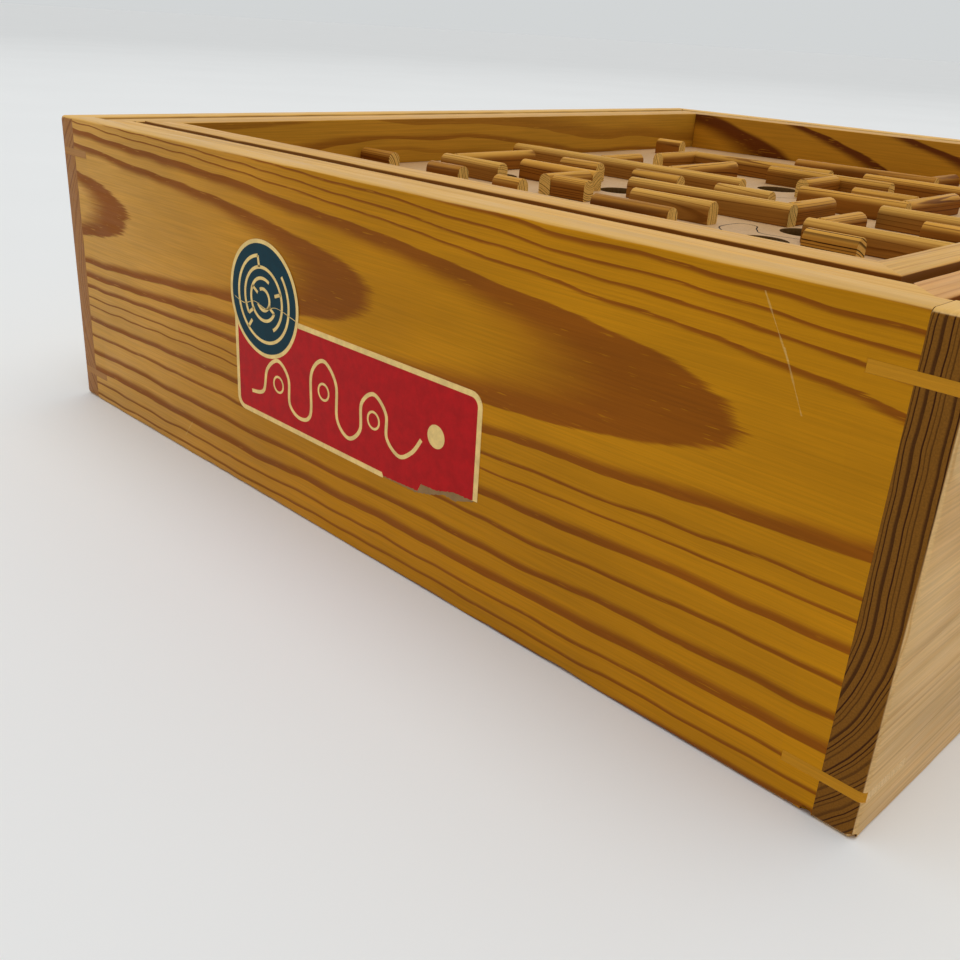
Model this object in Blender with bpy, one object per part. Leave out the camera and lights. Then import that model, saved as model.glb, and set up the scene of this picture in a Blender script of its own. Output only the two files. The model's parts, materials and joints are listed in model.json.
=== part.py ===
"""A wooden tilt maze game: a ball is steered through a maze by tilting it with two knobs.

The frame of the model: the origin is the centre of the case's underside, +Z is up, +X runs along
the long side to the player's right, and the player sits on the -Y side. Sizes are in millimetres
and mm() turns them into metres.

The maze tray tips about the Y axis inside a tilting frame, which tips about the X axis inside the
case. Each tilt is driven by a cord that is wound round a shaft under the maze.
"""

import math

import bmesh
import bpy
from mathutils import Matrix, Vector

# ------------------------------------------------------------------ driving dimensions
CASE_X, CASE_Y, CASE_H = 330.0, 285.0, 91.0
WALL = 8.0
JOINT_GAP = 0.1  # glue line between pieces of wood
LOOSE_GAP = 0.3  # between pieces that only rest together
EDGE_ROUND = 0.7

# slip feathers, the thin tongues that cross each corner of the case
FEATHER_T = 2.1
FEATHER_LEG = 15.5
FEATHER_Z = (9.15, 80.65)

# bottom panel and the sloping floor that the ball rolls down
PANEL_T = 3.0
PANEL_LAP = 4.0
RAMP_T = 2.5
RAMP_LOW_Z = 10.0  # top of the floor at the outlet corner
RAMP_SLOPE_X, RAMP_SLOPE_Y = 0.018, 0.030
RAMP_LAP = 3.0

# tilting frame, between the case and the maze tray
PIVOT_Z = 79.0
RAIL_BOTTOM = 67.0
FRAME_TOP, TRAY_TOP = 90.5, 90.95
FRAME_SIDE_GAP, FRAME_END_GAP = 2.2, 0.4
FRAME_SIDE_T, FRAME_END_T = 7.8, 6.8

# maze tray
TRAY_SIDE_GAP, TRAY_END_GAP = 2.5, 2.8
TRAY_T = 8.0
BOARD_TOP, BOARD_T = 75.4, 3.0
BOARD_LAP = 2.0

# maze
STRIP_W, STRIP_H = 5.0, 6.5
HOLE_R = 7.0
BALL_R = 6.0

# pivots, shafts and knobs
PIN_R, PIN_IN_WOOD = 1.5, 4.0
PIN_SIDES = 16
RUNNING = 0.1  # radial clearance of what turns in a bore
SHAFT_R = 3.0
SIDE_SHAFT_Z, FRONT_SHAFT_Z = 46.0, 38.5
SHAFT_IN_WALL = 4.0
KNOB_R, KNOB_L, KNOB_OFF = 17.0, 22.0, 1.5
KNOB_BORE = 15.0
KNOB_NECK_R, KNOB_RIM_Z, KNOB_ROUND = 11.0, 9.0, 4.0
KNOB_DISH_R, KNOB_DISH = 6.0, 1.8

# drive cords, with the springs that keep them taut
CORD_R = 0.5
CORD_LINE = 22.0  # how far each cord lies from the middle of the case
CORD_TURNS, CORD_PITCH, CORD_STEPS = 3, 1.4, 12
EYE_R, EYE_WIRE_R, EYE_Z = 2.6, 0.6, 57.0
SHANK_IN_WOOD = 4.0
SPRING_R, SPRING_WIRE_R, SPRING_L, SPRING_TURNS = 2.2, 0.3, 18.0, 8

# ball outlet at the front, near the right corner, and the cup outside it
OUTLET_X, OUTLET_W, OUTLET_H = 135.0, 22.0, 18.0
CUP_L, CUP_D, CUP_Z0, CUP_Z1 = 46.0, 25.0, 2.0, 16.0
CUP_WALL, CUP_FLOOR, CUP_ROUND = 4.0, 3.5, 1.5
CUP_INSET = 2.0  # from the case's right side

# paper label on the left wall
LABEL_T = 0.2
LABEL_Y0, LABEL_Y1, LABEL_Z0, LABEL_Z1 = -48.6, 45.7, 23.8, 53.6
LABEL_CORNER = 4.0
SEAL_Y, SEAL_Z, SEAL_R = 32.3, 56.3, 15.3

# The maze: each strip is (x0, y0, x1, y1), its centre line. The strips of one entry are glued
# together where they meet.
MAZE = {
    "strip_spine": [(5, 106, 5, 1), (5, 64, 30, 64), (5, 33, 49, 33)],
    "strip_back_corner": [(40, 62, 66.5, 62), (64, 62, 64, 0)],
    "strip_right_of_centre": [(53, 19, 53, -29), (28, -8.5, 53, -8.5)],
    "strip_centre_corner": [(-31.5, 20, -31.5, -39), (-31.5, -36.5, -5.5, -36.5)],
    "strip_centre_upper": [(-12.5, 33, -12.5, 14)],
    "strip_centre_lower": [(-14, -1.5, -14, -21.5)],
    "strip_left_of_centre": [(-51.5, 3.5, -51.5, -25)],
    "strip_left_round": [(-73, 1, -73, -26)],
    "strip_upper_short": [(-12.5, 66, -12.5, 48.5)],
    "strip_zigzag": [(-32.5, 67, -32.5, 33.5), (-56, 36, -32.5, 36), (-53.5, 36, -53.5, 19.5)],
    "strip_back_left_corner": [(-50, 89, -50, 60.5), (-50, 86.5, -8, 86.5)],
    "strip_back_stub": [(-68, 112, -68, 96)],
    "strip_left_upper": [(-70, 74.5, -70, 59)],
    "strip_left_middle": [(-72.5, 41, -72.5, 30)],
    "strip_back_right_stub": [(95, 102, 95, 89)],
    "strip_right_corner": [(89, 28, 89, -29.5), (89, -27, 111, -27)],
    "strip_right_straight": [(70.5, -10.5, 70.5, -62)],
    "strip_front_fork": [(10, -18, 10, -54.5), (10, -52, 50, -52), (27, -28, 27, -52)],
    "strip_front_pocket": [(-5, -53, -5, -90.5), (-22, -88, -5, -88), (-22, -73.5, -22, -90.5)],
    "strip_front_left_corner": [(-50, -53.5, -50, -112), (-50, -56, -25, -56)],
    "strip_front_stub": [(-65.5, -62, -65.5, -77)],
    "strip_far_left_back": [(-112, 88, -112, 45), (-112, 66, -97, 66)],
    "strip_far_left_middle": [(-95, 20, -95, -20), (-119, 0, -95, 0)],
    "strip_far_left_front": [(-116, -40, -96, -40), (-98.5, -40, -98.5, -92)],
    "strip_front_middle": [(30, -71.5, 30, -112), (30, -74, 52, -74)],
    "strip_front_right": [(92, -52, 92, -92.5), (92, -90, 118, -90)],
}

# The holes that the ball has to be kept out of: the centre of each.
HOLES = [
    (-36, -46.3), (-22.5, 31), (41, 8), (-15, -49.5), (-63, 50),
    (-122, 98), (-90, 90), (-125, 66), (-98, 49), (-122, 22),
    (-84, 12), (-110, -18), (-59, -46), (-112, -62), (-120, -100),
    (-72, -98), (-36, -80), (12, -80), (46, -94), (72, -78),
    (112, -70), (112, 14), (77, 8), (36, 90), (-38, 75),
]

# ------------------------------------------------------------------ dimensions that follow
HALF_X, HALF_Y = CASE_X / 2, CASE_Y / 2
IN_X, IN_Y = HALF_X - WALL, HALF_Y - WALL
FRAME_X, FRAME_Y = IN_X - FRAME_END_GAP, IN_Y - FRAME_SIDE_GAP
TRAY_X = FRAME_X - FRAME_END_T - TRAY_END_GAP
TRAY_Y = FRAME_Y - FRAME_SIDE_T - TRAY_SIDE_GAP
WELL_X, WELL_Y = TRAY_X - TRAY_T, TRAY_Y - TRAY_T
BOARD_BOTTOM = BOARD_TOP - BOARD_T
COIL_R = SHAFT_R + CORD_R + JOINT_GAP
PAST = 1.0  # how far a cutter runs past the face that it opens

COLOURS = {
    "case_pine": ((0.42, 0.20, 0.035), 0.42, 0.0),
    "frame_pine": ((0.56, 0.33, 0.13), 0.50, 0.0),
    "tray_pine": ((0.47, 0.25, 0.06), 0.45, 0.0),
    "maze_board": ((0.55, 0.38, 0.24), 0.60, 0.0),
    "strip_beech": ((0.54, 0.30, 0.08), 0.45, 0.0),
    "hardboard": ((0.30, 0.18, 0.09), 0.75, 0.0),
    "knob_wood": ((0.50, 0.28, 0.10), 0.40, 0.0),
    "steel": ((0.55, 0.55, 0.56), 0.30, 1.0),
    "cord": ((0.62, 0.58, 0.48), 0.90, 0.0),
    "label_paper": ((0.38, 0.02, 0.03), 0.40, 0.0),
}


# ------------------------------------------------------------------ helpers
def mm(value):
    return value * 0.001


def clear_scene():
    for obj in list(bpy.data.objects):
        bpy.data.objects.remove(obj, do_unlink=True)


def material(slot):
    found = bpy.data.materials.get(slot)
    if found:
        return found
    colour, roughness, metallic = COLOURS[slot]
    made = bpy.data.materials.new(slot)
    made.use_nodes = True
    shader = made.node_tree.nodes["Principled BSDF"]
    shader.inputs["Base Color"].default_value = (*colour, 1.0)
    shader.inputs["Roughness"].default_value = roughness
    shader.inputs["Metallic"].default_value = metallic
    made.diffuse_color = (*colour, 1.0)
    return made


def add_object(name, data, slot=None, origin=(0, 0, 0), parent=None):
    """Links data as an object whose origin is at a point of the model, in millimetres."""
    obj = bpy.data.objects.new(name, data)
    bpy.context.scene.collection.objects.link(obj)
    obj.location = [mm(v) for v in origin]
    if parent:
        obj.parent = parent
        obj.matrix_parent_inverse = Matrix.Translation(parent.location).inverted()
    if slot:
        data.materials.append(material(slot))
    return obj


def add_pivot(name, origin):
    """An empty on a joint's axis, the parent of what turns there."""
    return add_object(name, None, origin=origin)


def finish_mesh(bm, name):
    bmesh.ops.recalc_face_normals(bm, faces=bm.faces)
    mesh = bpy.data.meshes.new(name)
    bm.to_mesh(mesh)
    bm.free()
    return mesh


def half_turn(steps):
    """Angles from 0 to half a turn."""
    return [math.pi * i / steps for i in range(steps + 1)]


def sweep(name, outline, place, sections):
    """A closed mesh with the outline repeated at each section and caps on both ends.

    place(point, section) gives the position of an outline point in that section, in millimetres.
    """
    bm = bmesh.new()
    rings = [[bm.verts.new([mm(v) for v in place(p, s)]) for p in outline] for s in sections]
    for low, high in zip(rings, rings[1:]):
        for i in range(len(outline)):
            j = (i + 1) % len(outline)
            bm.faces.new((low[i], low[j], high[j], high[i]))
    bm.faces.new(list(reversed(rings[0])))
    bm.faces.new(rings[-1])
    return finish_mesh(bm, name)


def block_mesh(name, low, high):
    outline = [(low[0], low[1]), (high[0], low[1]), (high[0], high[1]), (low[0], high[1])]
    return sweep(name, outline, lambda p, z: (p[0], p[1], z), (low[2], high[2]))


def rod_mesh(name, axis, start, end, centre, radius, sides=24):
    """A round rod along axis 0, 1 or 2; centre holds the other two coordinates."""
    turn = 2 * math.pi / sides
    ring = [(radius * math.cos(i * turn), radius * math.sin(i * turn)) for i in range(sides)]

    def place(point, along):
        across = [centre[0] + point[0], centre[1] + point[1]]
        across.insert(axis, along)
        return across

    return sweep(name, ring, place, (start, end))


def turned_mesh(name, profile, sides=32):
    """A solid turned about Z from (radius, height) points; a point on the axis has radius 0."""
    bm = bmesh.new()
    rings = []
    for radius, height in profile:
        if radius == 0:
            rings.append([bm.verts.new((0, 0, mm(height)))])
            continue
        turn = 2 * math.pi / sides
        ring = [
            bm.verts.new((mm(radius * math.cos(i * turn)), mm(radius * math.sin(i * turn)), mm(height)))
            for i in range(sides)
        ]
        rings.append(ring)
    for a, b in zip(rings, rings[1:]):
        for i in range(sides):
            j = (i + 1) % sides
            corners = [a[i % len(a)], a[j % len(a)], b[j % len(b)], b[i % len(b)]]
            bm.faces.new(list(dict.fromkeys(corners)))
    return finish_mesh(bm, name)


def tube(name, points, radius, slot, sides_level, parent=None):
    """A round cord or wire through points in millimetres."""
    curve = bpy.data.curves.new(name, "CURVE")
    curve.dimensions = "3D"
    curve.bevel_depth = mm(radius)
    curve.bevel_resolution = sides_level
    curve.use_fill_caps = True
    spline = curve.splines.new("POLY")
    spline.points.add(len(points) - 1)
    for target, point in zip(spline.points, points):
        target.co = (*[mm(v) for v in point], 1.0)
    return add_object(name, curve, slot, parent=parent)


def joined(name, meshes):
    """One mesh that holds several closed shapes, for use as a cutter."""
    bm = bmesh.new()
    for mesh in meshes:
        bm.from_mesh(mesh)
        bpy.data.meshes.remove(mesh)
    return finish_mesh(bm, name)


def cut(obj, meshes, operation="DIFFERENCE"):
    """Cuts the meshes out of obj with one Boolean, or joins one to it."""
    helper = add_object(f"{obj.name}_{operation.lower()}", joined(f"{obj.name}_tool", meshes))
    helper.hide_render = True
    helper.display_type = "WIRE"
    step = obj.modifiers.new("shape", "BOOLEAN")
    step.operation = operation
    step.object = helper


def soften(obj, width=EDGE_ROUND, segments=2):
    """Rounds the sharp edges of a piece of wood."""
    bevel = obj.modifiers.new("edges", "BEVEL")
    bevel.width = mm(width)
    bevel.segments = segments
    bevel.limit_method = "ANGLE"
    return obj


def smooth(obj, angle=40.0):
    obj.data.shade_smooth()
    obj.data.set_sharp_from_angle(angle=math.radians(angle))
    return obj


# ------------------------------------------------------------------ case
def ramp_z(x, y):
    """Height of the sloping floor's top."""
    return RAMP_LOW_Z + RAMP_SLOPE_X * (IN_X - x) + RAMP_SLOPE_Y * (y + IN_Y)


def ramp_mesh(name, lap, spare):
    """The sloping floor, reaching lap past the walls' inner faces and thicker by spare each way."""
    x, y = IN_X + lap, IN_Y + lap
    outline = [(-x, -y), (x, -y), (x, y), (-x, y)]
    levels = (-RAMP_T - spare, spare)
    return sweep(name, outline, lambda p, level: (p[0], p[1], ramp_z(*p) + level), levels)


def feather_meshes(x_side, y_side, spare):
    """Both slip feathers of one corner, triangles in plan, grown by spare all round."""
    corner_x, corner_y = HALF_X + spare, HALF_Y + spare
    leg = FEATHER_LEG + (2 + math.sqrt(2)) * spare
    outline = [(corner_x, corner_y), (corner_x - leg, corner_y), (corner_x, corner_y - leg)]
    half = FEATHER_T / 2 + spare

    def place(point, z):
        return (x_side * point[0], y_side * point[1], z)

    return [sweep("feather", outline, place, (z - half, z + half)) for z in FEATHER_Z]


def panel_rebate(lap):
    """The space that the bottom panel needs in the walls."""
    x, y = IN_X + lap, IN_Y + lap
    return block_mesh("panel_space", (-x, -y, -PAST), (x, y, PANEL_T + JOINT_GAP))


def long_wall(name, side, cutters):
    """A front or back wall: it runs the full length and shows its end grain at both ends."""
    y = sorted((side * HALF_Y, side * IN_Y))
    wall = add_object(name, block_mesh(name, (-HALF_X, y[0], 0), (HALF_X, y[1], CASE_H)), "case_pine")
    soften(wall)
    kerfs = feather_meshes(-1, side, JOINT_GAP) + feather_meshes(1, side, JOINT_GAP)
    cut(wall, kerfs + cutters + [panel_rebate(PANEL_LAP)])
    cut(wall, [ramp_mesh("ramp_groove", RAMP_LAP + LOOSE_GAP, JOINT_GAP)])


def short_wall(name, side, cutters):
    """A left or right wall between the long ones, with the slip feathers glued to its ends."""
    x = sorted((side * HALF_X, side * IN_X))
    y = IN_Y - JOINT_GAP
    wall = add_object(name, block_mesh(name, (x[0], -y, 0), (x[1], y, CASE_H)), "case_pine")
    soften(wall)
    tongues = feather_meshes(side, -1, 0.0) + feather_meshes(side, 1, 0.0)
    cut(wall, tongues, "UNION")
    cut(wall, cutters + [panel_rebate(PANEL_LAP)])
    cut(wall, [ramp_mesh("ramp_groove", RAMP_LAP + LOOSE_GAP, JOINT_GAP)])


def outlet_cutter():
    """The arched opening where the ball leaves the case."""
    half = OUTLET_W / 2
    spring = RAMP_LOW_Z + OUTLET_H - half
    sill = RAMP_LOW_Z - JOINT_GAP
    arc = half_turn(10)
    outline = [(OUTLET_X - half, sill), (OUTLET_X + half, sill)]
    outline += [(OUTLET_X + half * math.cos(a), spring + half * math.sin(a)) for a in arc]
    span = (-HALF_Y - PAST, -IN_Y + PAST)
    return sweep("outlet", outline, lambda p, y: (p[0], y, p[1]), span)


def blind_hole(axis, side, face, depth, centre, radius, sides=24):
    """A hole along X or Y, from a face at distance face from the middle, going outwards by depth."""
    ends = sorted((side * (face - PAST), side * (face + depth)))
    return rod_mesh("hole", axis, *ends, centre, radius, sides)


def pin_hole(axis, side, face, clearance):
    """A hole for a pivot pin that goes outwards into a piece whose inner face is at face."""
    depth = PIN_IN_WOOD + LOOSE_GAP
    return blind_hole(axis, side, face, depth, (0, PIVOT_Z), PIN_R + clearance, PIN_SIDES)


def build_case():
    bore = SHAFT_R + RUNNING
    through, blind = WALL + PAST, SHAFT_IN_WALL + LOOSE_GAP
    front_hole = blind_hole(1, -1, IN_Y, through, (0, FRONT_SHAFT_Z), bore)
    back_hole = blind_hole(1, 1, IN_Y, blind, (0, FRONT_SHAFT_Z), bore)
    right_hole = blind_hole(0, 1, IN_X, through, (0, SIDE_SHAFT_Z), bore)
    left_hole = blind_hole(0, -1, IN_X, blind, (0, SIDE_SHAFT_Z), bore)
    left_pin, right_pin = [pin_hole(0, side, IN_X, JOINT_GAP) for side in (-1, 1)]
    long_wall("front_wall", -1, [front_hole, outlet_cutter()])
    long_wall("back_wall", 1, [back_hole])
    short_wall("left_wall", -1, [left_hole, left_pin])
    short_wall("right_wall", 1, [right_hole, right_pin])

    x, y = IN_X + PANEL_LAP - LOOSE_GAP, IN_Y + PANEL_LAP - LOOSE_GAP
    add_object("bottom_panel", block_mesh("bottom_panel", (-x, -y, 0), (x, y, PANEL_T)), "hardboard")
    add_object("ball_ramp", ramp_mesh("ball_ramp", RAMP_LAP, 0.0), "hardboard")


def build_ball_cup():
    """The small trough outside the outlet, and the ball that lies in it."""
    x0, x1 = HALF_X - CUP_INSET - CUP_L, HALF_X - CUP_INSET
    y0, y1 = -HALF_Y - CUP_D, -HALF_Y - JOINT_GAP
    cup = add_object("ball_cup", block_mesh("ball_cup", (x0, y0, CUP_Z0), (x1, y1, CUP_Z1)), "case_pine")
    soften(cup, CUP_ROUND, 3)
    hollow_low = (x0 + CUP_WALL, y0 + CUP_WALL, CUP_Z0 + CUP_FLOOR)
    cut(cup, [block_mesh("hollow", hollow_low, (x1 - CUP_WALL, y1 + PAST, CUP_Z1 + PAST))])

    middle = ((x0 + x1) / 2, (y0 + CUP_WALL + y1) / 2, CUP_Z0 + CUP_FLOOR + BALL_R + JOINT_GAP)
    bm = bmesh.new()
    bmesh.ops.create_uvsphere(bm, u_segments=20, v_segments=12, radius=mm(BALL_R))
    smooth(add_object("steel_ball", finish_mesh(bm, "steel_ball"), "steel", middle))


def build_label():
    """A thin paper label: a round seal over the corner of a rectangle with rounded corners."""
    outline = []
    low_y, high_y = LABEL_Y0 + LABEL_CORNER, LABEL_Y1 - LABEL_CORNER
    low_z, high_z = LABEL_Z0 + LABEL_CORNER, LABEL_Z1 - LABEL_CORNER
    centres = [(high_y, high_z), (low_y, high_z), (low_y, low_z), (high_y, low_z)]
    for quarter, (y, z) in enumerate(centres):
        for i in range(5):
            angle = (quarter + i / 4) * math.pi / 2
            outline.append((y + LABEL_CORNER * math.cos(angle), z + LABEL_CORNER * math.sin(angle)))
    outer = -HALF_X - JOINT_GAP
    span = (outer - LABEL_T, outer)
    mesh = sweep("side_label", outline, lambda p, x: (x, p[0], p[1]), span)
    label = add_object("side_label", mesh, "label_paper")
    seal = rod_mesh("seal", 0, *span, (SEAL_Y, SEAL_Z), SEAL_R, 40)
    cut(label, [seal], "UNION")


# ------------------------------------------------------------------ tilting frame and maze tray
def rail_mesh(name, across, side, half_length, outer, thickness, top, groove):
    """A rail with mitred ends, along X if across is 1 and along Y if across is 0.

    Its outer face lies at outer on the given side. A groove on the inner face takes the board.
    """
    section = [(0, RAIL_BOTTOM), (0, top), (thickness, top)]
    if groove:
        depth = thickness - BOARD_LAP - JOINT_GAP
        low, high = BOARD_BOTTOM - JOINT_GAP, BOARD_TOP + JOINT_GAP
        section += [(thickness, high), (depth, high), (depth, low), (thickness, low)]
    section += [(thickness, RAIL_BOTTOM)]

    def place(point, end):
        inward, z = point
        along = end * (half_length - inward - JOINT_GAP)
        if across == 1:
            return (along, side * (outer - inward), z)
        return (side * (outer - inward), along, z)

    return sweep(name, section, place, (-1, 1))


def eye_hole(x, y):
    depth = (RAIL_BOTTOM - PAST, RAIL_BOTTOM + SHANK_IN_WOOD + LOOSE_GAP)
    return rod_mesh("hole", 2, *depth, (x, y), EYE_WIRE_R + JOINT_GAP, 8)


def build_tilting_frame(pivot):
    running_face = PAST - PIN_IN_WOOD - LOOSE_GAP  # so that the hole opens outwards
    for name, side in (("frame_front_rail", -1), ("frame_back_rail", 1)):
        mesh = rail_mesh(name, 1, side, FRAME_X, FRAME_Y, FRAME_SIDE_T, FRAME_TOP, False)
        rail = add_object(name, mesh, "frame_pine", parent=pivot)
        pin = pin_hole(1, side, FRAME_Y - FRAME_SIDE_T, JOINT_GAP)
        cut(rail, [pin, eye_hole(CORD_LINE, side * (FRAME_Y - FRAME_SIDE_T / 2))])
    for name, side in (("frame_left_rail", -1), ("frame_right_rail", 1)):
        mesh = rail_mesh(name, 0, side, FRAME_Y, FRAME_X, FRAME_END_T, FRAME_TOP, False)
        rail = add_object(name, mesh, "frame_pine", parent=pivot)
        cut(rail, [pin_hole(0, side, FRAME_X + running_face, RUNNING)])
    for name, side in (("frame_pivot_pin_left", -1), ("frame_pivot_pin_right", 1)):
        ends = sorted((side * (FRAME_X - PIN_IN_WOOD), side * (IN_X + PIN_IN_WOOD)))
        smooth(add_object(name, rod_mesh(name, 0, *ends, (0, PIVOT_Z), PIN_R, PIN_SIDES), "steel"))


def build_maze_tray(pivot):
    running_face = PAST - PIN_IN_WOOD - LOOSE_GAP  # so that the hole opens outwards
    for name, side in (("tray_front_rail", -1), ("tray_back_rail", 1)):
        mesh = rail_mesh(name, 1, side, TRAY_X, TRAY_Y, TRAY_T, TRAY_TOP, True)
        rail = add_object(name, mesh, "tray_pine", parent=pivot)
        cut(rail, [pin_hole(1, side, TRAY_Y + running_face, RUNNING)])
    for name, side in (("tray_left_rail", -1), ("tray_right_rail", 1)):
        mesh = rail_mesh(name, 0, side, TRAY_Y, TRAY_X, TRAY_T, TRAY_TOP, True)
        rail = add_object(name, mesh, "tray_pine", parent=pivot)
        cut(rail, [eye_hole(side * (TRAY_X - TRAY_T / 2), -CORD_LINE)])
    for name, side in (("tray_pivot_pin_front", -1), ("tray_pivot_pin_back", 1)):
        reach = FRAME_Y - FRAME_SIDE_T + PIN_IN_WOOD
        ends = sorted((side * (TRAY_Y - PIN_IN_WOOD), side * reach))
        pin = rod_mesh(name, 1, *ends, (0, PIVOT_Z), PIN_R, PIN_SIDES)
        smooth(add_object(name, pin, "steel", parent=pivot))

    x, y = WELL_X + BOARD_LAP - JOINT_GAP, WELL_Y + BOARD_LAP - JOINT_GAP
    mesh = block_mesh("maze_board", (-x, -y, BOARD_BOTTOM), (x, y, BOARD_TOP))
    board = add_object("maze_board", mesh, "maze_board", parent=pivot)
    depth = (BOARD_BOTTOM - PAST, BOARD_TOP + PAST)
    cut(board, [rod_mesh("hole", 2, *depth, hole, HOLE_R, 20) for hole in HOLES])


def strip_mesh(name, x0, y0, x1, y1):
    """A strip of the maze with a half-round top, along X or along Y."""
    half = STRIP_W / 2
    base = BOARD_TOP + JOINT_GAP
    spring = base + STRIP_H - half
    outline = [(-half, base), (half, base)]
    outline += [(half * math.cos(a), spring + half * math.sin(a)) for a in half_turn(8)]

    def place(point, end):
        if y0 == y1:
            return (end, y0 + point[0], point[1])
        return (x0 + point[0], end, point[1])

    ends = sorted((x0, x1)) if y0 == y1 else sorted((y0, y1))
    return sweep(name, outline, place, ends)


def build_maze(pivot):
    for name, strips in MAZE.items():
        obj = add_object(name, strip_mesh(name, *strips[0]), "strip_beech", parent=pivot)
        for strip in strips[1:]:
            cut(obj, [strip_mesh(name, *strip)], "UNION")


# ------------------------------------------------------------------ shafts and knobs
def knob_mesh(name):
    """A turned wooden knob on +Z with its back at 0, its rim rounded and its face hollowed."""
    bore, round_r, round_z = SHAFT_R + JOINT_GAP, KNOB_R - KNOB_ROUND, KNOB_L - KNOB_ROUND
    profile = [(0, KNOB_BORE), (bore, KNOB_BORE), (bore, 0), (KNOB_NECK_R, 0)]
    profile += [(KNOB_NECK_R + 0.6, 4.0), (KNOB_R - 2.0, KNOB_RIM_Z - 2.0), (KNOB_R, KNOB_RIM_Z)]
    profile += [
        (round_r + KNOB_ROUND * math.cos(a / 2), round_z + KNOB_ROUND * math.sin(a / 2)) for a in half_turn(4)
    ]
    profile += [(KNOB_DISH_R, KNOB_L - 0.7 * KNOB_DISH), (0, KNOB_L - KNOB_DISH)]
    return turned_mesh(name, list(reversed(profile)))


def build_drive(name, axis, shaft_z, wall_outer, wall_inner):
    """A shaft from a blind bearing in the far wall to a knob outside the near one.

    axis is 0 for the side knob, on the +X side, and 1 for the front knob, on the -Y side.
    """
    knob_side = 1 if axis == 0 else -1
    pivot = add_pivot(f"{name}_axis", (0, 0, shaft_z))
    far_end = -knob_side * (wall_inner + SHAFT_IN_WALL)
    near_end = knob_side * (wall_outer + KNOB_OFF + KNOB_BORE - LOOSE_GAP)
    ends = sorted((far_end, near_end))
    shaft = add_object(f"{name}_shaft", rod_mesh(name, axis, *ends, (0, shaft_z), SHAFT_R), "steel",
                       parent=pivot)
    smooth(shaft)
    back = knob_side * (wall_outer + KNOB_OFF)
    origin = (back, 0, shaft_z) if axis == 0 else (0, back, shaft_z)
    knob = smooth(add_object(f"{name}_knob", knob_mesh(f"{name}_knob"), "knob_wood", origin, pivot))
    knob.rotation_euler = (0, math.pi / 2, 0) if axis == 0 else (math.pi / 2, 0, 0)


# ------------------------------------------------------------------ cords, springs and eyes
def helix(start, end, radius, turns, steps):
    """Points of a helix round the straight line from start to end."""
    start, end = Vector(start), Vector(end)
    along = (end - start).normalized()
    side = along.cross(Vector((0, 0, 1)))
    side.normalize()
    up = side.cross(along)
    count = round(turns * steps)
    points = []
    for i in range(count + 1):
        angle = 2 * math.pi * i / steps
        around = radius * (math.cos(angle) * side + math.sin(angle) * up)
        points.append(start.lerp(end, i / count) + around)
    return points


def eye_mesh(name, x, y, along_x):
    """A screw eye: a wire ring on a short shank that goes up into a rail."""
    bm = bmesh.new()
    ring, wire = 16, 6
    loops = []
    for i in range(ring):
        a = 2 * math.pi * i / ring
        loop = []
        for k in range(wire):
            b = 2 * math.pi * k / wire
            out = EYE_R + EYE_WIRE_R * math.cos(b)
            flat, rise, off = out * math.sin(a), out * math.cos(a), EYE_WIRE_R * math.sin(b)
            place = (x + off, y + flat, EYE_Z + rise) if along_x else (x + flat, y + off, EYE_Z + rise)
            loop.append(bm.verts.new([mm(v) for v in place]))
        loops.append(loop)
    for a, b in zip(loops, loops[1:] + loops[:1]):
        for k in range(wire):
            j = (k + 1) % wire
            bm.faces.new((a[k], a[j], b[j], b[k]))
    return finish_mesh(bm, name)


def add_eye(name, x, y, along_x, parent):
    eye = add_object(name, eye_mesh(name, x, y, along_x), "steel", parent=parent)
    shank = rod_mesh("shank", 2, EYE_Z + EYE_R, RAIL_BOTTOM + SHANK_IN_WOOD, (x, y), EYE_WIRE_R, 8)
    cut(eye, [shank], "UNION")
    smooth(eye)


def cord_points(at, line, shaft_z, reach):
    """The route of a cord: from the eye to the shaft, round it, and up to the spring.

    at(across, z, along) gives a point, with along measured along the shaft.
    """
    eye_edge = reach - EYE_R - EYE_WIRE_R - LOOSE_GAP
    spring_end = reach - EYE_R - SPRING_L
    slope = (EYE_Z - shaft_z) / reach
    width = CORD_TURNS * CORD_PITCH
    points = [at(-eye_edge, shaft_z + slope * eye_edge, line - width / 2)]
    last = CORD_TURNS * CORD_STEPS
    for i in range(last + 1):
        angle = math.pi / 2 - 2 * math.pi * i / CORD_STEPS
        height = shaft_z + COIL_R * math.sin(angle)
        points.append(at(-COIL_R * math.cos(angle), height, line + (i / last - 0.5) * width))
    points.append(at(spring_end, shaft_z + slope * spring_end, line + width / 2))
    return points


def build_cord_drive(name, axis, line, shaft_z, reach, parent):
    """The cord and its tension spring, round the shaft that lies along X or Y."""
    def at(across, z, along):
        return (along, across, z) if axis == 0 else (across, along, z)

    tube(f"{name}_cord", cord_points(at, line, shaft_z, reach), CORD_R, "cord", 2, parent)
    slope = (EYE_Z - shaft_z) / reach
    inner = reach - EYE_R - SPRING_L + LOOSE_GAP + CORD_R
    outer = reach - EYE_R - EYE_WIRE_R - LOOSE_GAP
    along = line + CORD_TURNS * CORD_PITCH / 2
    start, end = [at(across, shaft_z + slope * across, along) for across in (inner, outer)]
    coil = helix(start, end, SPRING_R - SPRING_WIRE_R, SPRING_TURNS, 10)
    tube(f"{name}_spring", coil, SPRING_WIRE_R, "steel", 1, parent)


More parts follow.
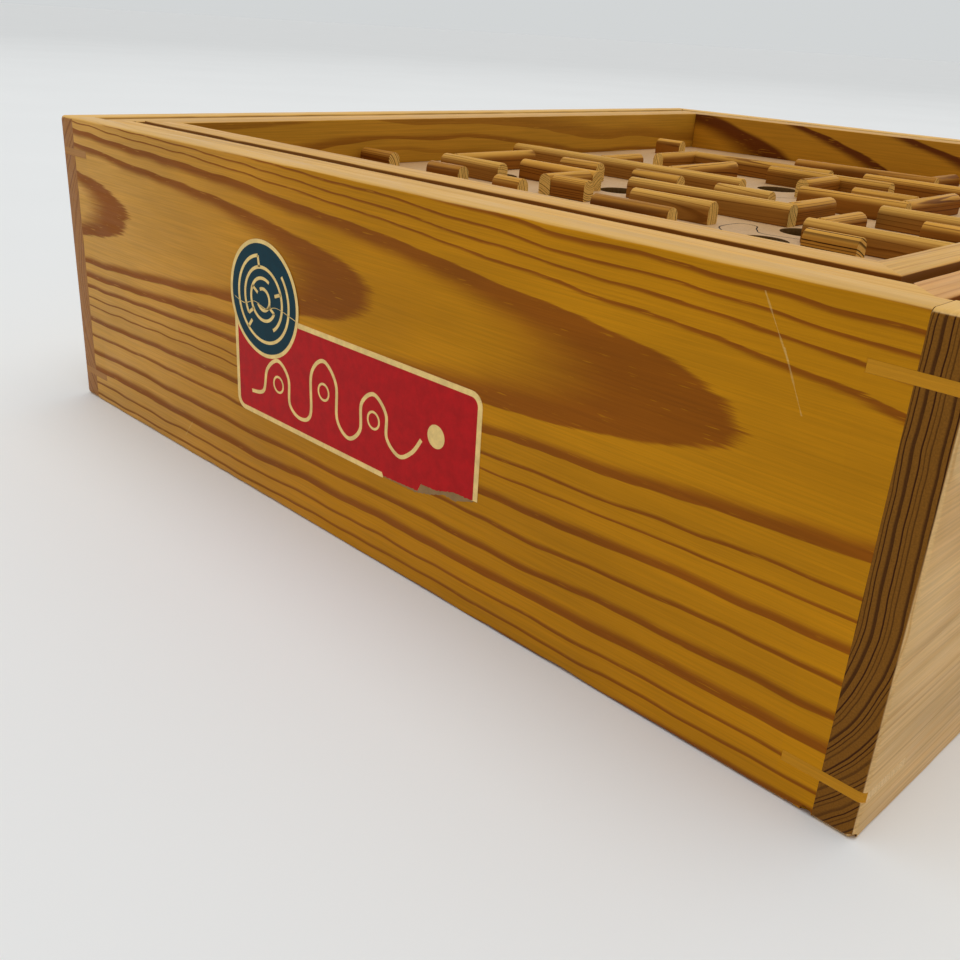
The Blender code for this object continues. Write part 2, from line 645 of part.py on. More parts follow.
def main():
    clear_scene()
    frame_pivot = add_pivot("frame_tilt_axis", (0, 0, PIVOT_Z))
    tray_pivot = add_pivot("tray_tilt_axis", (0, 0, PIVOT_Z))
    tray_pivot.parent = frame_pivot
    tray_pivot.matrix_parent_inverse = Matrix.Translation(frame_pivot.location).inverted()

    build_case()
    build_ball_cup()
    build_label()
    build_tilting_frame(frame_pivot)
    build_maze_tray(tray_pivot)
    build_maze(tray_pivot)
    build_drive("side", 0, SIDE_SHAFT_Z, HALF_X, IN_X)
    build_drive("front", 1, FRONT_SHAFT_Z, HALF_Y, IN_Y)

    frame_reach = FRAME_Y - FRAME_SIDE_T / 2
    build_cord_drive("frame", 0, CORD_LINE, SIDE_SHAFT_Z, frame_reach, frame_pivot)
    tray_reach = TRAY_X - TRAY_T / 2
    build_cord_drive("tray", 1, -CORD_LINE, FRONT_SHAFT_Z, tray_reach, tray_pivot)
    for name, side in (("front", -1), ("back", 1)):
        add_eye(f"frame_{name}_eye", CORD_LINE, side * frame_reach, True, frame_pivot)
    for name, side in (("left", -1), ("right", 1)):
        add_eye(f"tray_{name}_eye", side * tray_reach, -CORD_LINE, False, tray_pivot)


main()
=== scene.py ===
"""The looks of the wooden tilt maze game: its boards, rails, maze, label, drives and materials.

Every wooden piece is made in its own frame, in millimetres, with X along the grain. Its object's
origin is the heart of the tree that it was sawn from, so the growth rings run through it as
through real wood: round on its ends, and in long lines and arches on its faces.
"""

import json
import random
from math import cos, hypot, pi, radians, sin

import bmesh
import bpy
from mathutils import Matrix, Vector, noise


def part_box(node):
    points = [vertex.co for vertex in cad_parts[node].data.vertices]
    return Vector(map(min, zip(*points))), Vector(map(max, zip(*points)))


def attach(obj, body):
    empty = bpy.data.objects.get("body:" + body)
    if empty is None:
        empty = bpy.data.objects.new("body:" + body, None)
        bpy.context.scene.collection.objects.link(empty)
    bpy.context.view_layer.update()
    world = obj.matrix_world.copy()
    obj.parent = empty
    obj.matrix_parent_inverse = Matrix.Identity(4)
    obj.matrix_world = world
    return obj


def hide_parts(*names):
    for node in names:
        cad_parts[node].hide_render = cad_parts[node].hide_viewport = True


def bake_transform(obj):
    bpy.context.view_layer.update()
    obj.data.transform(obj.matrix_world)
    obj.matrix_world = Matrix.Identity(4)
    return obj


MM = 0.001

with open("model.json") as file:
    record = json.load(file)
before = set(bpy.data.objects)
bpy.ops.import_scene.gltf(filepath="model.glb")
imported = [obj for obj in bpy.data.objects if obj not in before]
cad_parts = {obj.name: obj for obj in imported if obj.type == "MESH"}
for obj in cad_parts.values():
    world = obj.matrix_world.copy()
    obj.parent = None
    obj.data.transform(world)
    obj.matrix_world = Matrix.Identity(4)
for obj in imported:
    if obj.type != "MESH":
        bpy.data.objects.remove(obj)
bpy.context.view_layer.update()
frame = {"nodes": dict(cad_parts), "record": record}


# ---------- sizes, read from the frame
def span(node):
    """A node's lowest and highest corners, in millimetres."""
    low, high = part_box(node)
    return low / MM, high / MM


def middle_of(node):
    low, high = span(node)
    return (low + high) / 2


WALL = 8.0
HALF_X, HALF_Y = span("right_wall")[1].x, span("back_wall")[1].y
IN_X, IN_Y = HALF_X - WALL, span("back_wall")[0].y
CASE_H = span("front_wall")[1].z
PIVOT_Z = middle_of("frame_pivot_pin_left").z
BOARD_LOW, BOARD_HIGH = span("maze_board")
SIDES = {"left": (-1, 0), "right": (1, 0), "front": (0, -1), "back": (0, 1)}

JOINT = 0.02  # glue line
WEAR = 0.9  # how far the edges of the case are rounded by use
CRISP = 0.12  # rounding of an edge that nothing has worn
SHEEN = 0.07  # specular level of the old, dulled varnish
PIN_GLUED, PIN_LOOSE, SHAFT_HOLE = 1.55, 1.62, 3.1  # radii of the holes
BLIND = 4.3  # depth of a hole that doesn't go through


# ---------- shader nodes
def rgba(colour):
    """A colour with its alpha; a single number is a grey."""
    return (*colour, 1.0) if isinstance(colour, tuple) else (colour, colour, colour, 1.0)


class Graph:
    """The nodes of one material or world, built from its coordinates towards its shader."""

    def __init__(self, name, owner=None):
        self.owner = owner or bpy.data.materials.new(name)
        self.owner.use_nodes = True
        self.tree = self.owner.node_tree
        self.shader = self.tree.nodes.get("Principled BSDF")

    def put(self, socket, value):
        if isinstance(value, bpy.types.NodeSocket):
            self.tree.links.new(value, socket)
        else:
            socket.default_value = value

    def add(self, kind, inputs, **settings):
        node = self.tree.nodes.new(kind)
        for key, value in settings.items():
            setattr(node, key, value)
        for key, value in inputs.items():
            self.put(node.inputs[key], value)
        return node

    def math(self, operation, *values):
        return self.add("ShaderNodeMath", dict(enumerate(values)), operation=operation).outputs[0]

    def plus(self, a, b):
        return self.math("ADD", a, b)

    def minus(self, a, b):
        return self.math("SUBTRACT", a, b)

    def times(self, a, b):
        return self.math("MULTIPLY", a, b)

    def vector(self, operation, *values):
        return self.add("ShaderNodeVectorMath", dict(enumerate(values)), operation=operation)

    def place(self, stretch=1.0):
        """The place on the piece in millimetres, times stretch: a number, or one for each axis."""
        coordinates = self.add("ShaderNodeTexCoord", {})
        stretches = stretch if isinstance(stretch, tuple) else (stretch, stretch, stretch)
        scale = [s / MM for s in stretches]
        return self.vector("MULTIPLY", coordinates.outputs["Object"], scale).outputs[0]

    def normal(self):
        return self.split(self.add("ShaderNodeTexCoord", {}).outputs["Normal"])

    def split(self, vector):
        return self.add("ShaderNodeSeparateXYZ", {0: vector}).outputs

    def noise(self, stretch, detail=2.0, roughness=0.5, distortion=0.0):
        """Smooth noise from 0 to 1, with about stretch lumps in a millimetre."""
        return self.add("ShaderNodeTexNoise", {
            "Vector": self.place(stretch), "Scale": 1.0, "Detail": detail, "Roughness": roughness,
            "Distortion": distortion,
        }).outputs[0]

    def shift(self, size, stretch, detail=1.0, roughness=0.5):
        """A smooth random shift of up to size each way."""
        value = self.noise(stretch, detail, roughness)
        return self.times(self.minus(value, 0.5), 2.0 * size)

    def ease(self, value, low, high, to_low=0.0, to_high=1.0):
        return self.add("ShaderNodeMapRange", {
            "Value": value, "From Min": low, "From Max": high, "To Min": to_low, "To Max": to_high,
        }, interpolation_type="SMOOTHSTEP").outputs[0]

    def ramp(self, value, stops, interpolation="LINEAR"):
        node = self.add("ShaderNodeValToRGB", {0: value})
        elements = node.color_ramp.elements
        node.color_ramp.interpolation = interpolation
        for index, (position, colour) in enumerate(stops):
            element = elements[index] if index < 2 else elements.new(position)
            element.position = position
            element.color = rgba(colour)
        return node.outputs[0]

    def mix(self, factor, a, b, blend="MIX"):
        node = self.add("ShaderNodeMix", {}, data_type="RGBA", blend_type=blend)
        self.put(node.inputs[0], factor)
        for socket, value in ((6, a), (7, b)):
            self.put(node.inputs[socket], rgba(value) if isinstance(value, tuple) else value)
        return node.outputs[2]

    def tint(self, colour, low, high, *values):
        """The colour made lighter and darker by each value, which runs from about 0.3 to 0.7."""
        amount = 1.0
        for value in values:
            amount = self.times(amount, self.ease(value, 0.28, 0.72, low, high))
        grey = self.add("ShaderNodeCombineXYZ", {0: amount, 1: amount, 2: amount}).outputs[0]
        return self.mix(1.0, colour, grey, "MULTIPLY")

    def bump(self, height, distance, strength=1.0):
        """Relief of the given depth, in millimetres."""
        node = self.add("ShaderNodeBump", {
            "Height": height, "Distance": distance * MM, "Strength": strength,
        })
        self.put(self.shader.inputs["Normal"], node.outputs[0])

    def finish(self, colour, roughness, **constants):
        self.put(self.shader.inputs["Base Color"], colour)
        self.put(self.shader.inputs["Roughness"], roughness)
        for name, value in constants.items():
            self.shader.inputs[name.replace("_", " ")].default_value = value
        return self.owner


# ---------- wood
def ring_shade(g, ring, late_share):
    """How dark the wood is, from its place between two ring edges: a slow rise, then a sharp end."""
    within = g.math("FRACT", ring)
    start = g.minus(1.0, late_share)
    middle = g.plus(start, g.times(late_share, 0.62))
    return g.times(g.ease(within, start, middle), g.ease(within, 0.955, 1.0, 1.0, 0.0))


def wood_finish(g, shade, early, late, ends, gloss=0.44, top=None, side_shade=(0.0, 0.0)):
    """Colours the rings, darkens the end grain and adds fibres, flecks, painted shade and relief.

    ends holds the end grain's early and late colours. top is a paler colour painted on upward
    faces, a painted highlight for the light from above. The side shade pair is how dark the
    painted shade is on the sides that face -Y and +Y, below the top, which gets none.
    """
    streaks = g.noise((0.035, 2.2, 2.2), 4.0, 0.65)
    flecks = g.ease(g.noise((0.16, 2.6, 2.6), 1.0), 0.67, 0.73)
    cloud = g.noise((0.012, 0.05, 0.05), 3.0, 0.6)
    colour = g.tint(g.mix(shade, early, late), 0.88, 1.10, cloud, streaks)
    colour = g.mix(g.times(flecks, g.ease(shade, 0.0, 1.0, 0.10, 0.55)), colour, early)
    # painted highlight: upward faces get the paler top colour, for the light from above
    if top:
        pale = g.tint(top, 0.93, 1.06, cloud, streaks)
        colour = g.mix(g.ease(g.normal()[2], 0.45, 0.85, 0.0, 0.82), colour, pale)
    # painted shade: the sides that face -Y and +Y are darkened towards a reddish brown below the top, with
    # cloudy variation
    if max(side_shade) > 0:
        side = g.ease(g.normal()[1], -0.4, 0.4, *side_shade)
        not_upward = g.ease(g.normal()[2], 0.0, 0.8, 1.0, 0.0)
        painted_shade = g.math("MULTIPLY_ADD", g.minus(cloud, 0.5), 0.4, g.times(side, not_upward))
        colour = g.mix(painted_shade, colour, g.mix(1.0, colour, (0.36, 0.20, 0.08), "MULTIPLY"))
    pores = g.noise((0.5, 3.0, 3.0), 3.0, 0.6)
    end_grain = g.tint(g.mix(g.ease(shade, 0.1, 0.9), *ends), 0.84, 1.14, pores)
    colour = g.mix(g.ease(g.math("ABSOLUTE", g.normal()[0]), 0.78, 0.92), colour, end_grain)
    g.bump(g.minus(streaks, g.times(shade, 0.25)), 0.035, 0.6)
    smears = g.noise((0.06, 0.5, 0.5), 3.0)
    roughness = g.ease(smears, 0.3, 0.7, gloss - 0.05, gloss + 0.09)
    return g.finish(colour, roughness, Specular_IOR_Level=SHEEN)


def solid_wood(name, early, late, ends, spacing, late_share=0.4, wander=2.2, flat=1.0, **finish):
    """Wood whose rings lie round the piece's X axis, spacing millimetres apart.

    Above the heart, flat below 1 stretches them towards straight upright lines.
    """
    taper = 0.012
    g = Graph(name)
    x, y, z = g.split(g.place())
    z = g.math("MULTIPLY_ADD", g.math("MAXIMUM", z, 0.0), flat, g.math("MINIMUM", z, 0.0))
    slow = g.shift(wander, (0.008, 0.03, 0.03), 2.0)
    small = g.shift(0.18 * spacing, (0.03, 0.2, 0.2))
    radius = g.math("SQRT", g.plus(g.times(y, y), g.times(z, z)))
    radius = g.plus(g.math("MULTIPLY_ADD", x, taper, radius), g.plus(slow, small))
    uneven = g.times(g.math("SINE", g.times(radius, 1.7 / spacing)), 0.34)
    ring = g.plus(g.math("DIVIDE", radius, spacing), uneven)
    white = g.add("ShaderNodeTexWhiteNoise", {"W": g.math("FLOOR", ring)}, noise_dimensions="1D")
    strength = g.ease(white.outputs[0], 0.0, 1.0, 0.5, 1.0)
    shade = g.times(ring_shade(g, ring, late_share), strength)
    return wood_finish(g, shade, early, late, ends, **finish)


def listed_rings(g, start, edges, reference):
    """How dark the wood is at start, between rings with these edges and shares of latewood."""
    count = len(edges)
    steps = [(0.0, 0.0)]
    steps += [(edge / reference, (i + 1) / count) for i, (edge, _) in enumerate(edges)]
    number = g.times(g.ramp(g.math("DIVIDE", start, reference), steps), float(count))
    shares = [(i / count, share) for i, (_, share) in enumerate(edges)]
    middle = g.math("DIVIDE", g.plus(g.math("FLOOR", number), 0.5), float(count))
    return ring_shade(g, number, g.ramp(middle, shares, "CONSTANT"))


def scratched(g, line, x, height, *colours):
    """The colours with a fine pale scratch across them, from x0, z0 to x1, z1."""
    x0, z0, x1, z1 = line
    length = hypot(x1 - x0, z1 - z0)
    across = g.plus(g.times(g.minus(x, x0), (z1 - z0) / length),
                    g.times(g.minus(height, z0), (x0 - x1) / length))
    width = g.ease(g.noise(0.3, 2.0), 0.35, 0.65, 0.03, 0.18)
    on_line = g.math("LESS_THAN", g.math("ABSOLUTE", across), width)
    within = g.times(g.math("GREATER_THAN", height, min(z0, z1)),
                     g.math("LESS_THAN", height, max(z0, z1)))
    mark = g.times(g.times(on_line, within), 0.3)
    return [g.mix(mark, colour, (0.80, 0.55, 0.20)) for colour in colours]


def figured_pine(name, early, late, ends, below, above, middle, bluntness, reach, ragged_tips=7.0,
                 way=1.0, drift=0.0, painted_sheen_end=None, scratches=(), **finish):
    """Plain-sawn pine whose rings make nested arches that point along +X, or -X where way is -1.

    A ring that crosses the arches' middle height at x reaches further from that height towards
    x = 0. The two lists give where the rings cut the board's x = 0 end, below and above the
    middle, and the share of each ring that is dark latewood. drift spreads the rings apart along
    X. The pale end colour is a painted sheen of the varnish, which the earlywood is painted
    towards near x = 0; scratches are (x, z, x, z) lines.
    """
    reference = 1.02 * max(below[-1][0], above[-1][0])
    half_length = 135.0
    g = Graph(name)
    x, depth, height = g.split(g.place())
    x = g.times(x, way)
    waves = g.plus(g.shift(1.5, (0.016, 0.03, 0.022)), g.shift(0.8, (0.06, 0.1, 0.09)))
    offset = g.minus(g.plus(height, waves), middle)
    offset = g.plus(offset, g.times(depth, 0.35))
    lobes = g.shift(2.0, (0.03, 0.22, 0.22))
    fingers = g.shift(ragged_tips, (0.05, 1.5, 1.5), 3.0, 0.7)
    along = g.math("MAXIMUM", g.plus(x, g.plus(lobes, fingers)), 0.0)
    away = g.math("POWER", g.math("ABSOLUTE", offset), bluntness)
    start = g.math("POWER", g.math("MULTIPLY_ADD", along, reach, away), 1.0 / bluntness)
    start = g.math("MULTIPLY_ADD", g.minus(x, half_length), drift, start)

    is_above = g.math("GREATER_THAN", offset, 0.0)
    shade = g.plus(g.times(listed_rings(g, start, above, reference), is_above),
                   g.times(listed_rings(g, start, below, reference), g.minus(1.0, is_above)))
    # painted sheen: the earlywood is painted paler towards x = 0, fading out by x = 150, for the varnish's
    # sheen
    if painted_sheen_end:
        early = g.mix(g.ease(x, 0.0, 150.0, 0.80, 0.0), early, painted_sheen_end)
    for line in scratches:
        early, late = scratched(g, line, x, height, early, late)
    return wood_finish(g, shade, early, late, ends, gloss=0.40, **finish)


LABEL_BELOW = [
    (10.2, 0.45), (18.3, 0.34), (22.6, 0.66), (26.0, 0.55), (29.3, 0.24), (32.0, 0.26), (36.8, 0.50),
    (42.1, 0.28), (48.5, 0.38), (54.6, 0.55), (59.0, 0.28), (63.0, 0.30), (67.0, 0.4),
]
LABEL_ABOVE = [
    (10.4, 0.45), (18.3, 0.34), (22.5, 0.66), (24.6, 0.28), (26.4, 0.32), (28.2, 0.34), (30.4, 0.45),
    (33.5, 0.45),
]
ARCHES = [(31.2, 0.30), (39.5, 0.32), (47.3, 0.3), (54.2, 0.32), (60.4, 0.3), (66.0, 0.3)]
ARCH_Z = 64.0  # height of the middle of the arches in the tray's right rail

# painted highlights: paler colours painted on the upward faces of the case and the tray, for the light from
# above
LIT_TOP, LIT_TRAY_TOP = (0.79, 0.47, 0.13), (0.66, 0.36, 0.09)
RAIL_ENDS = ((0.45, 0.22, 0.05), (0.25, 0.10, 0.02))
STRIP_ENDS = ((0.80, 0.50, 0.13), (0.14, 0.045, 0.008))
# In these looks, top is a painted highlight on upward faces, and the side shade pair sets the painted shade
# on the sides that face -Y and +Y.
FIGURED_WOODS = {
    "label_pine": dict(
        early=(0.55, 0.228, 0.003), late=(0.29, 0.082, 0.002), ends=((0.30, 0.13, 0.03), (0.12, 0.04, 0.01)),
        below=LABEL_BELOW, above=LABEL_ABOVE, middle=65.0, bluntness=2.6, reach=12.0, drift=0.006,
        # painted sheen: the pale end colour stands for the varnish's sheen at the board's far end
        painted_sheen_end=(0.70, 0.375, 0.085), scratches=[(251, 88, 257, 78), (256, 80, 261, 70), (66, 5, 71, 11)],
        top=LIT_TOP),
    "tray_pine_arched": dict(
        early=(0.56, 0.25, 0.016), late=(0.15, 0.036, 0.003), ends=RAIL_ENDS, below=ARCHES, above=ARCHES,
        middle=2.8, bluntness=2.0, reach=12.5, ragged_tips=1.5, way=-1.0, top=LIT_TRAY_TOP, side_shade=(1.0, 0.1)),
}
SOLID_WOODS = {
    "case_pine": dict(
        early=(0.72, 0.455, 0.19), late=(0.60, 0.34, 0.12),
        ends=((0.225, 0.088, 0.009), (0.042, 0.010, 0.001)), spacing=0.95, late_share=0.50, wander=1.2,
        top=LIT_TOP, flat=0.12),
    "back_pine": dict(
        early=(0.62, 0.34, 0.09), late=(0.42, 0.19, 0.04), ends=((0.40, 0.17, 0.045), (0.25, 0.09, 0.024)),
        spacing=2.1, top=LIT_TOP),
    "feather_pine": dict(
        early=(0.64, 0.28, 0.015), late=(0.58, 0.245, 0.012), ends=((0.78, 0.52, 0.24), (0.72, 0.45, 0.19)),
        spacing=1.6, late_share=0.3),
    "feather_dark": dict(
        early=(0.50, 0.23, 0.06), late=(0.44, 0.19, 0.045), ends=((0.66, 0.38, 0.12), (0.60, 0.33, 0.09)),
        spacing=1.6, late_share=0.3),
    "frame_pine": dict(early=(0.72, 0.41, 0.11), late=(0.60, 0.31, 0.07), ends=RAIL_ENDS, spacing=2.6,
                       late_share=0.3, side_shade=(1.0, 1.0)),
    "frame_pine_pink": dict(early=(0.66, 0.34, 0.11), late=(0.54, 0.25, 0.07), ends=RAIL_ENDS, spacing=3.2,
                            late_share=0.3, side_shade=(1.0, 1.0)),
    "tray_pine": dict(early=(0.70, 0.39, 0.10), late=(0.56, 0.27, 0.055), ends=RAIL_ENDS, spacing=2.8,
                      late_share=0.3, side_shade=(1.0, 0.75)),
    "tray_pine_mottled": dict(early=(0.56, 0.27, 0.022), late=(0.34, 0.13, 0.010), ends=RAIL_ENDS,
                              spacing=3.4, late_share=0.5, wander=5.0, top=LIT_TRAY_TOP, side_shade=(1.0, 0.1)),
    "strip_beech": dict(early=(0.65, 0.325, 0.05), late=(0.24, 0.085, 0.008), ends=STRIP_ENDS,
                        spacing=0.85, late_share=0.34, wander=0.9, side_shade=(0.85, 0.85)),
    "strip_light": dict(early=(0.70, 0.38, 0.075), late=(0.38, 0.165, 0.02), ends=STRIP_ENDS,
                        spacing=0.9, late_share=0.30, wander=0.9, side_shade=(0.8, 0.8)),
    "strip_dark": dict(early=(0.46, 0.20, 0.025), late=(0.20, 0.065, 0.006), ends=STRIP_ENDS,
                       spacing=0.9, wander=0.9, side_shade=(0.85, 0.85)),
    "strip_lined": dict(
        early=(0.68, 0.34, 0.05), late=(0.05, 0.012, 0.001), ends=((0.80, 0.48, 0.12), (0.05, 0.012, 0.002)),
        spacing=1.15, late_share=0.5, wander=0.9, side_shade=(0.4, 0.4)),
    "knob_wood": dict(
        early=(0.62, 0.32, 0.075), late=(0.40, 0.17, 0.03), ends=((0.50, 0.26, 0.06), (0.30, 0.12, 0.02)),
        spacing=2.6, late_share=0.34, gloss=0.30),
}


# ---------- other materials
def board_material(name):
    """Printed hardboard: a pale, worn ground on top, and the brown board at its edges and holes."""
    g = Graph(name)
    cloud = g.noise(0.02, 4.0, 0.6)
    fibre = g.noise((0.9, 3.0, 1.0), 3.0, 0.7)
    colour = g.ramp(cloud, [(0.3, (0.51, 0.31, 0.145)), (0.7, (0.62, 0.40, 0.205))])
    colour = g.tint(colour, 0.90, 1.07, fibre)
    core = g.ramp(fibre, [(0.3, (0.10, 0.045, 0.010)), (0.7, (0.17, 0.085, 0.022))])
    colour = g.mix(g.ease(g.normal()[2], 0.55, 0.80), core, colour)
    g.bump(fibre, 0.02, 0.5)
    return g.finish(colour, g.ease(cloud, 0.3, 0.7, 0.42, 0.58), Specular_IOR_Level=0.15)


def hardboard_material(name):
    """Pressed brown fibreboard, mottled and matt."""
    g = Graph(name)
    lumps = g.noise(0.25, 5.0, 0.7)
    hairs = g.noise(1.4, 4.0, 0.8, 1.5)
    mottle = g.math("MULTIPLY_ADD", hairs, 0.5, g.times(lumps, 0.5))
    colour = g.ramp(mottle, [(0.36, (0.16, 0.085, 0.035)), (0.64, (0.30, 0.17, 0.08))])
    g.bump(hairs, 0.06, 0.7)
    return g.finish(colour, g.ease(lumps, 0.3, 0.7, 0.62, 0.82))


def steel_material(name):
    """Drawn steel wire and ground steel, with fine scratches and slight tarnish."""
    g = Graph(name)
    scratches = g.noise((0.4, 6.0, 6.0), 4.0, 0.7)
    tarnish = g.noise(0.15, 4.0, 0.6)
    colour = g.ramp(tarnish, [(0.35, (0.42, 0.41, 0.40)), (0.62, (0.66, 0.66, 0.66))])
    g.bump(scratches, 0.006, 0.5)
    return g.finish(colour, g.ease(scratches, 0.3, 0.7, 0.16, 0.34), Metallic=1.0)


def cord_material(name):
    """Twisted cotton: its strands are bands that climb along the cord."""
    g = Graph(name)
    x, y, z = g.split(g.place())
    twist = g.math("SINE", g.times(g.plus(g.plus(x, y), z), 4.5))
    fuzz = g.noise(5.0, 3.0)
    shade = g.ease(g.plus(g.times(twist, 0.3), fuzz), 0.1, 0.9)
    colour = g.mix(shade, (0.30, 0.26, 0.19), (0.62, 0.58, 0.47))
    g.bump(shade, 0.12, 0.8)
    return g.finish(colour, g.ease(fuzz, 0.3, 0.7, 0.8, 0.95))


def print_material(name, ink, paper, wear, gloss):
    """A printed layer: ink with fine mottling, and small nicks where the paper shows."""
    g = Graph(name)
    mottle = g.noise(0.35, 5.0, 0.65)
    nicks = g.noise(0.55, 6.0, 0.75)
    colour = g.mix(g.ease(nicks, wear, wear + 0.02), g.tint(ink, 0.88, 1.12, mottle), paper)
    g.bump(mottle, 0.03, 0.5)
    roughness = g.ease(mottle, 0.3, 0.7, gloss - 0.06, gloss + 0.08)
    return g.finish(colour, roughness, Specular_IOR_Level=SHEEN)


CREAM, RED, TEAL = (0.93, 0.66, 0.25), (0.50, 0.010, 0.012), (0.004, 0.038, 0.056)
MATERIALS = {
    "maze_board": board_material("maze_board"),
    "hardboard": hardboard_material("hardboard"),
    "steel": steel_material("steel"),
    "cord": cord_material("cord"),
    "cream": print_material("label_cream", CREAM, (0.45, 0.30, 0.14), 0.70, 0.45),
    "red": print_material("label_red", RED, CREAM, 0.735, 0.36),
    "teal": print_material("label_teal", TEAL, (0.30, 0.32, 0.28), 0.735, 0.36),
    "torn": print_material("label_torn", (0.33, 0.20, 0.085), (0.45, 0.32, 0.18), 0.62, 0.8),
    "ink": print_material("path_ink", (0.018, 0.014, 0.012), (0.3, 0.2, 0.13), 0.72, 0.55),
}
MATERIALS.update((name, figured_pine(name, **look)) for name, look in FIGURED_WOODS.items())
MATERIALS.update((name, solid_wood(name, **look)) for name, look in SOLID_WOODS.items())


# ---------- making pieces
def scene_object(name, data):
    obj = bpy.data.objects.new(name, data)
    bpy.context.scene.collection.objects.link(obj)
    return obj


def mesh_of(name, bm):
    """The mesh, given in millimetres, as a mesh in metres."""
    bmesh.ops.recalc_face_normals(bm, faces=bm.faces)
    bmesh.ops.scale(bm, vec=(MM, MM, MM), verts=bm.verts)
    mesh = bpy.data.meshes.new(name)
    bm.to_mesh(mesh)
    bm.free()
    return mesh


def make_piece(name, bm, material, nodes=()):
    """Makes the mesh a piece that stands for CAD nodes."""
    obj = scene_object(name, mesh_of(name, bm))
    obj.data.shade_smooth()
    obj.data.set_sharp_from_angle(angle=radians(35))
    obj.data.materials.append(MATERIALS[material])
    if nodes:
        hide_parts(*nodes)
    return obj


def add_piece(name, bm, material, body, nodes=()):
    """A piece that moves with one body."""
    obj = make_piece(name, bm, material, nodes)
    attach(obj, body)
    return obj


def axes(along):
    """The turn whose X is the direction given, with Z up."""
    x, up = Vector(along), Vector((0, 0, 1))
    return Matrix((x, up.cross(x), up)).transposed()


def set_origin(obj, origin, along):
    """Gives the piece's object a new origin and X axis, and keeps the mesh where it is."""
    place = Matrix.Translation(Vector(origin) * MM) @ axes(along).to_4x4()
    obj.data.transform(place.inverted())
    obj.matrix_world = place
    return obj


def stand(name, bm, material, corner, along, heart, body, slot, nodes=()):
    """Puts a bar in place: its corner, its X axis, and where the tree's heart was in it."""
    turn = axes(along)
    bm.transform(Matrix.Translation(corner) @ turn.to_4x4())
    obj = add_piece(name, bm, material, body, nodes)
    return set_origin(obj, Vector(corner) + turn @ Vector(heart), along)


def spaced(start, end, steps):
    """Numbers from start to end, both included, even steps apart."""
    return [start + (end - start) * i / steps for i in range(steps + 1)]


def arc(u, v, radius, start, end, steps):
    """Points round (u, v) from one angle to another, in degrees, with both ends."""
    angles = map(radians, spaced(start, end, steps))
    return [(u + radius * cos(a), v + radius * sin(a)) for a in angles]


def skin(bm, rings):
    """Joins rings of vertices, which all have as many, into one closed body."""
    for a, b in zip(rings, rings[1:]):
        for i in range(len(a)):
            j = (i + 1) % len(a)
            bm.faces.new((a[i], a[j], b[j], b[i]))
    bm.faces.new(reversed(rings[0]))
    bm.faces.new(rings[-1])


def prism(outline, place, low, high):
    """The flat outline between two heights; place(u, v, h) gives a point of it in the row frame."""
    bm = bmesh.new()
    skin(bm, [[bm.verts.new(place(u, v, h)) for u, v in outline] for h in (low, high)])
    return bm


def rounded_section(low_y, high_y, low_z, high_z, radii, notch=None):
    """A rectangle with rounded corners; radii go round from (high_y, low_z), counter-clockwise.

    notch is (low, high, depth), a groove in the far side.
    """
    corners = [(high_y, low_z, -1, 1), (high_y, high_z, -1, -1),
               (low_y, high_z, 1, -1), (low_y, low_z, 1, 1)]
    points = []
    for index, ((y, z, in_y, in_z), radius) in enumerate(zip(corners, radii)):
        start = 90 * index - 90
        points += arc(y + in_y * radius, z + in_z * radius, radius, start, start + 90, 3)
        if notch and index == 0:
            low, high, depth = notch
            points += [(y, low), (y - depth, low), (y - depth, high), (y, high)]
    return points


def worn(radius, seed, edge, x):
    """How far an edge is rounded at x: a slow change, and a dent here and there."""
    slow = noise.noise(Vector((x / 11.0, seed * 7.31, edge * 2.7)))
    dent = max(0.0, noise.noise(Vector((x / 4.0, seed * 3.17, edge * 5.3 + 4.5))) - 0.34)
    return max(CRISP, radius * (0.85 + 0.5 * slow + 2.2 * dent))


def bar(length, width, height, radius, seed, mitre=False, step=4.0, notch=None, end_wear=0.0,
        sharp_ends=0.0):
    """A piece of wood along X with worn edges: [0, length] x [0, width] x [0, height].

    With mitre, both ends are cut at 45 degrees, and the far side, at y = width, is the shorter
    one. end_wear rounds the outer edges of both ends; sharp_ends is how far from each end the
    inner edges stay sharp, where another board is glued on.
    """
    count = max(2, round((length - 2 * end_wear) / step))
    turns = (0.0, 0.5, 1.0) if end_wear else ()
    rounding = [(end_wear * (1 - cos(a)), end_wear * (1 - sin(a))) for a in turns]
    stations = rounding + [(x, 0.0) for x in spaced(end_wear, length - end_wear, count)]
    stations += [(length - x, inset) for x, inset in reversed(rounding)]
    if sharp_ends:
        for x in (sharp_ends, length - sharp_ends):
            stations += [(x - 0.05, 0.0), (x + 0.05, 0.0)]
        stations.sort(key=lambda station: station[0])
    bm = bmesh.new()
    rings = []
    for x, inset in stations:
        radii = [worn(radius, seed, edge, x) for edge in range(4)]
        if min(x, length - x) < sharp_ends:
            radii[0] = radii[1] = CRISP
        section = rounded_section(inset, width, inset, height - inset, radii, notch)
        slide = x / length if mitre else 0.0
        rings.append([
            bm.verts.new((y + slide * (length - 2 * y) if mitre else x, y, z)) for y, z in section
        ])
    skin(bm, rings)
    return bm


def cylinder(start, end, radius, sides=48):
    """A closed cylinder between two points."""
    bm = bmesh.new()
    start, end = Vector(start), Vector(end)
    along = end - start
    turn = along.to_track_quat("Z", "Y").to_matrix().to_4x4()
    bmesh.ops.create_cone(bm, cap_ends=True, segments=sides, radius1=radius, radius2=radius,
                          depth=along.length)
    bm.transform(Matrix.Translation((start + end) / 2) @ turn)
    return bm


def box(low, high):
    bm = bmesh.new()
    bmesh.ops.create_cube(bm, size=1.0)
    size = Vector(high) - Vector(low)
    middle = (Vector(high) + Vector(low)) / 2
    bm.transform(Matrix.Translation(middle) @ Matrix.Diagonal((*size, 1.0)))
    return bm


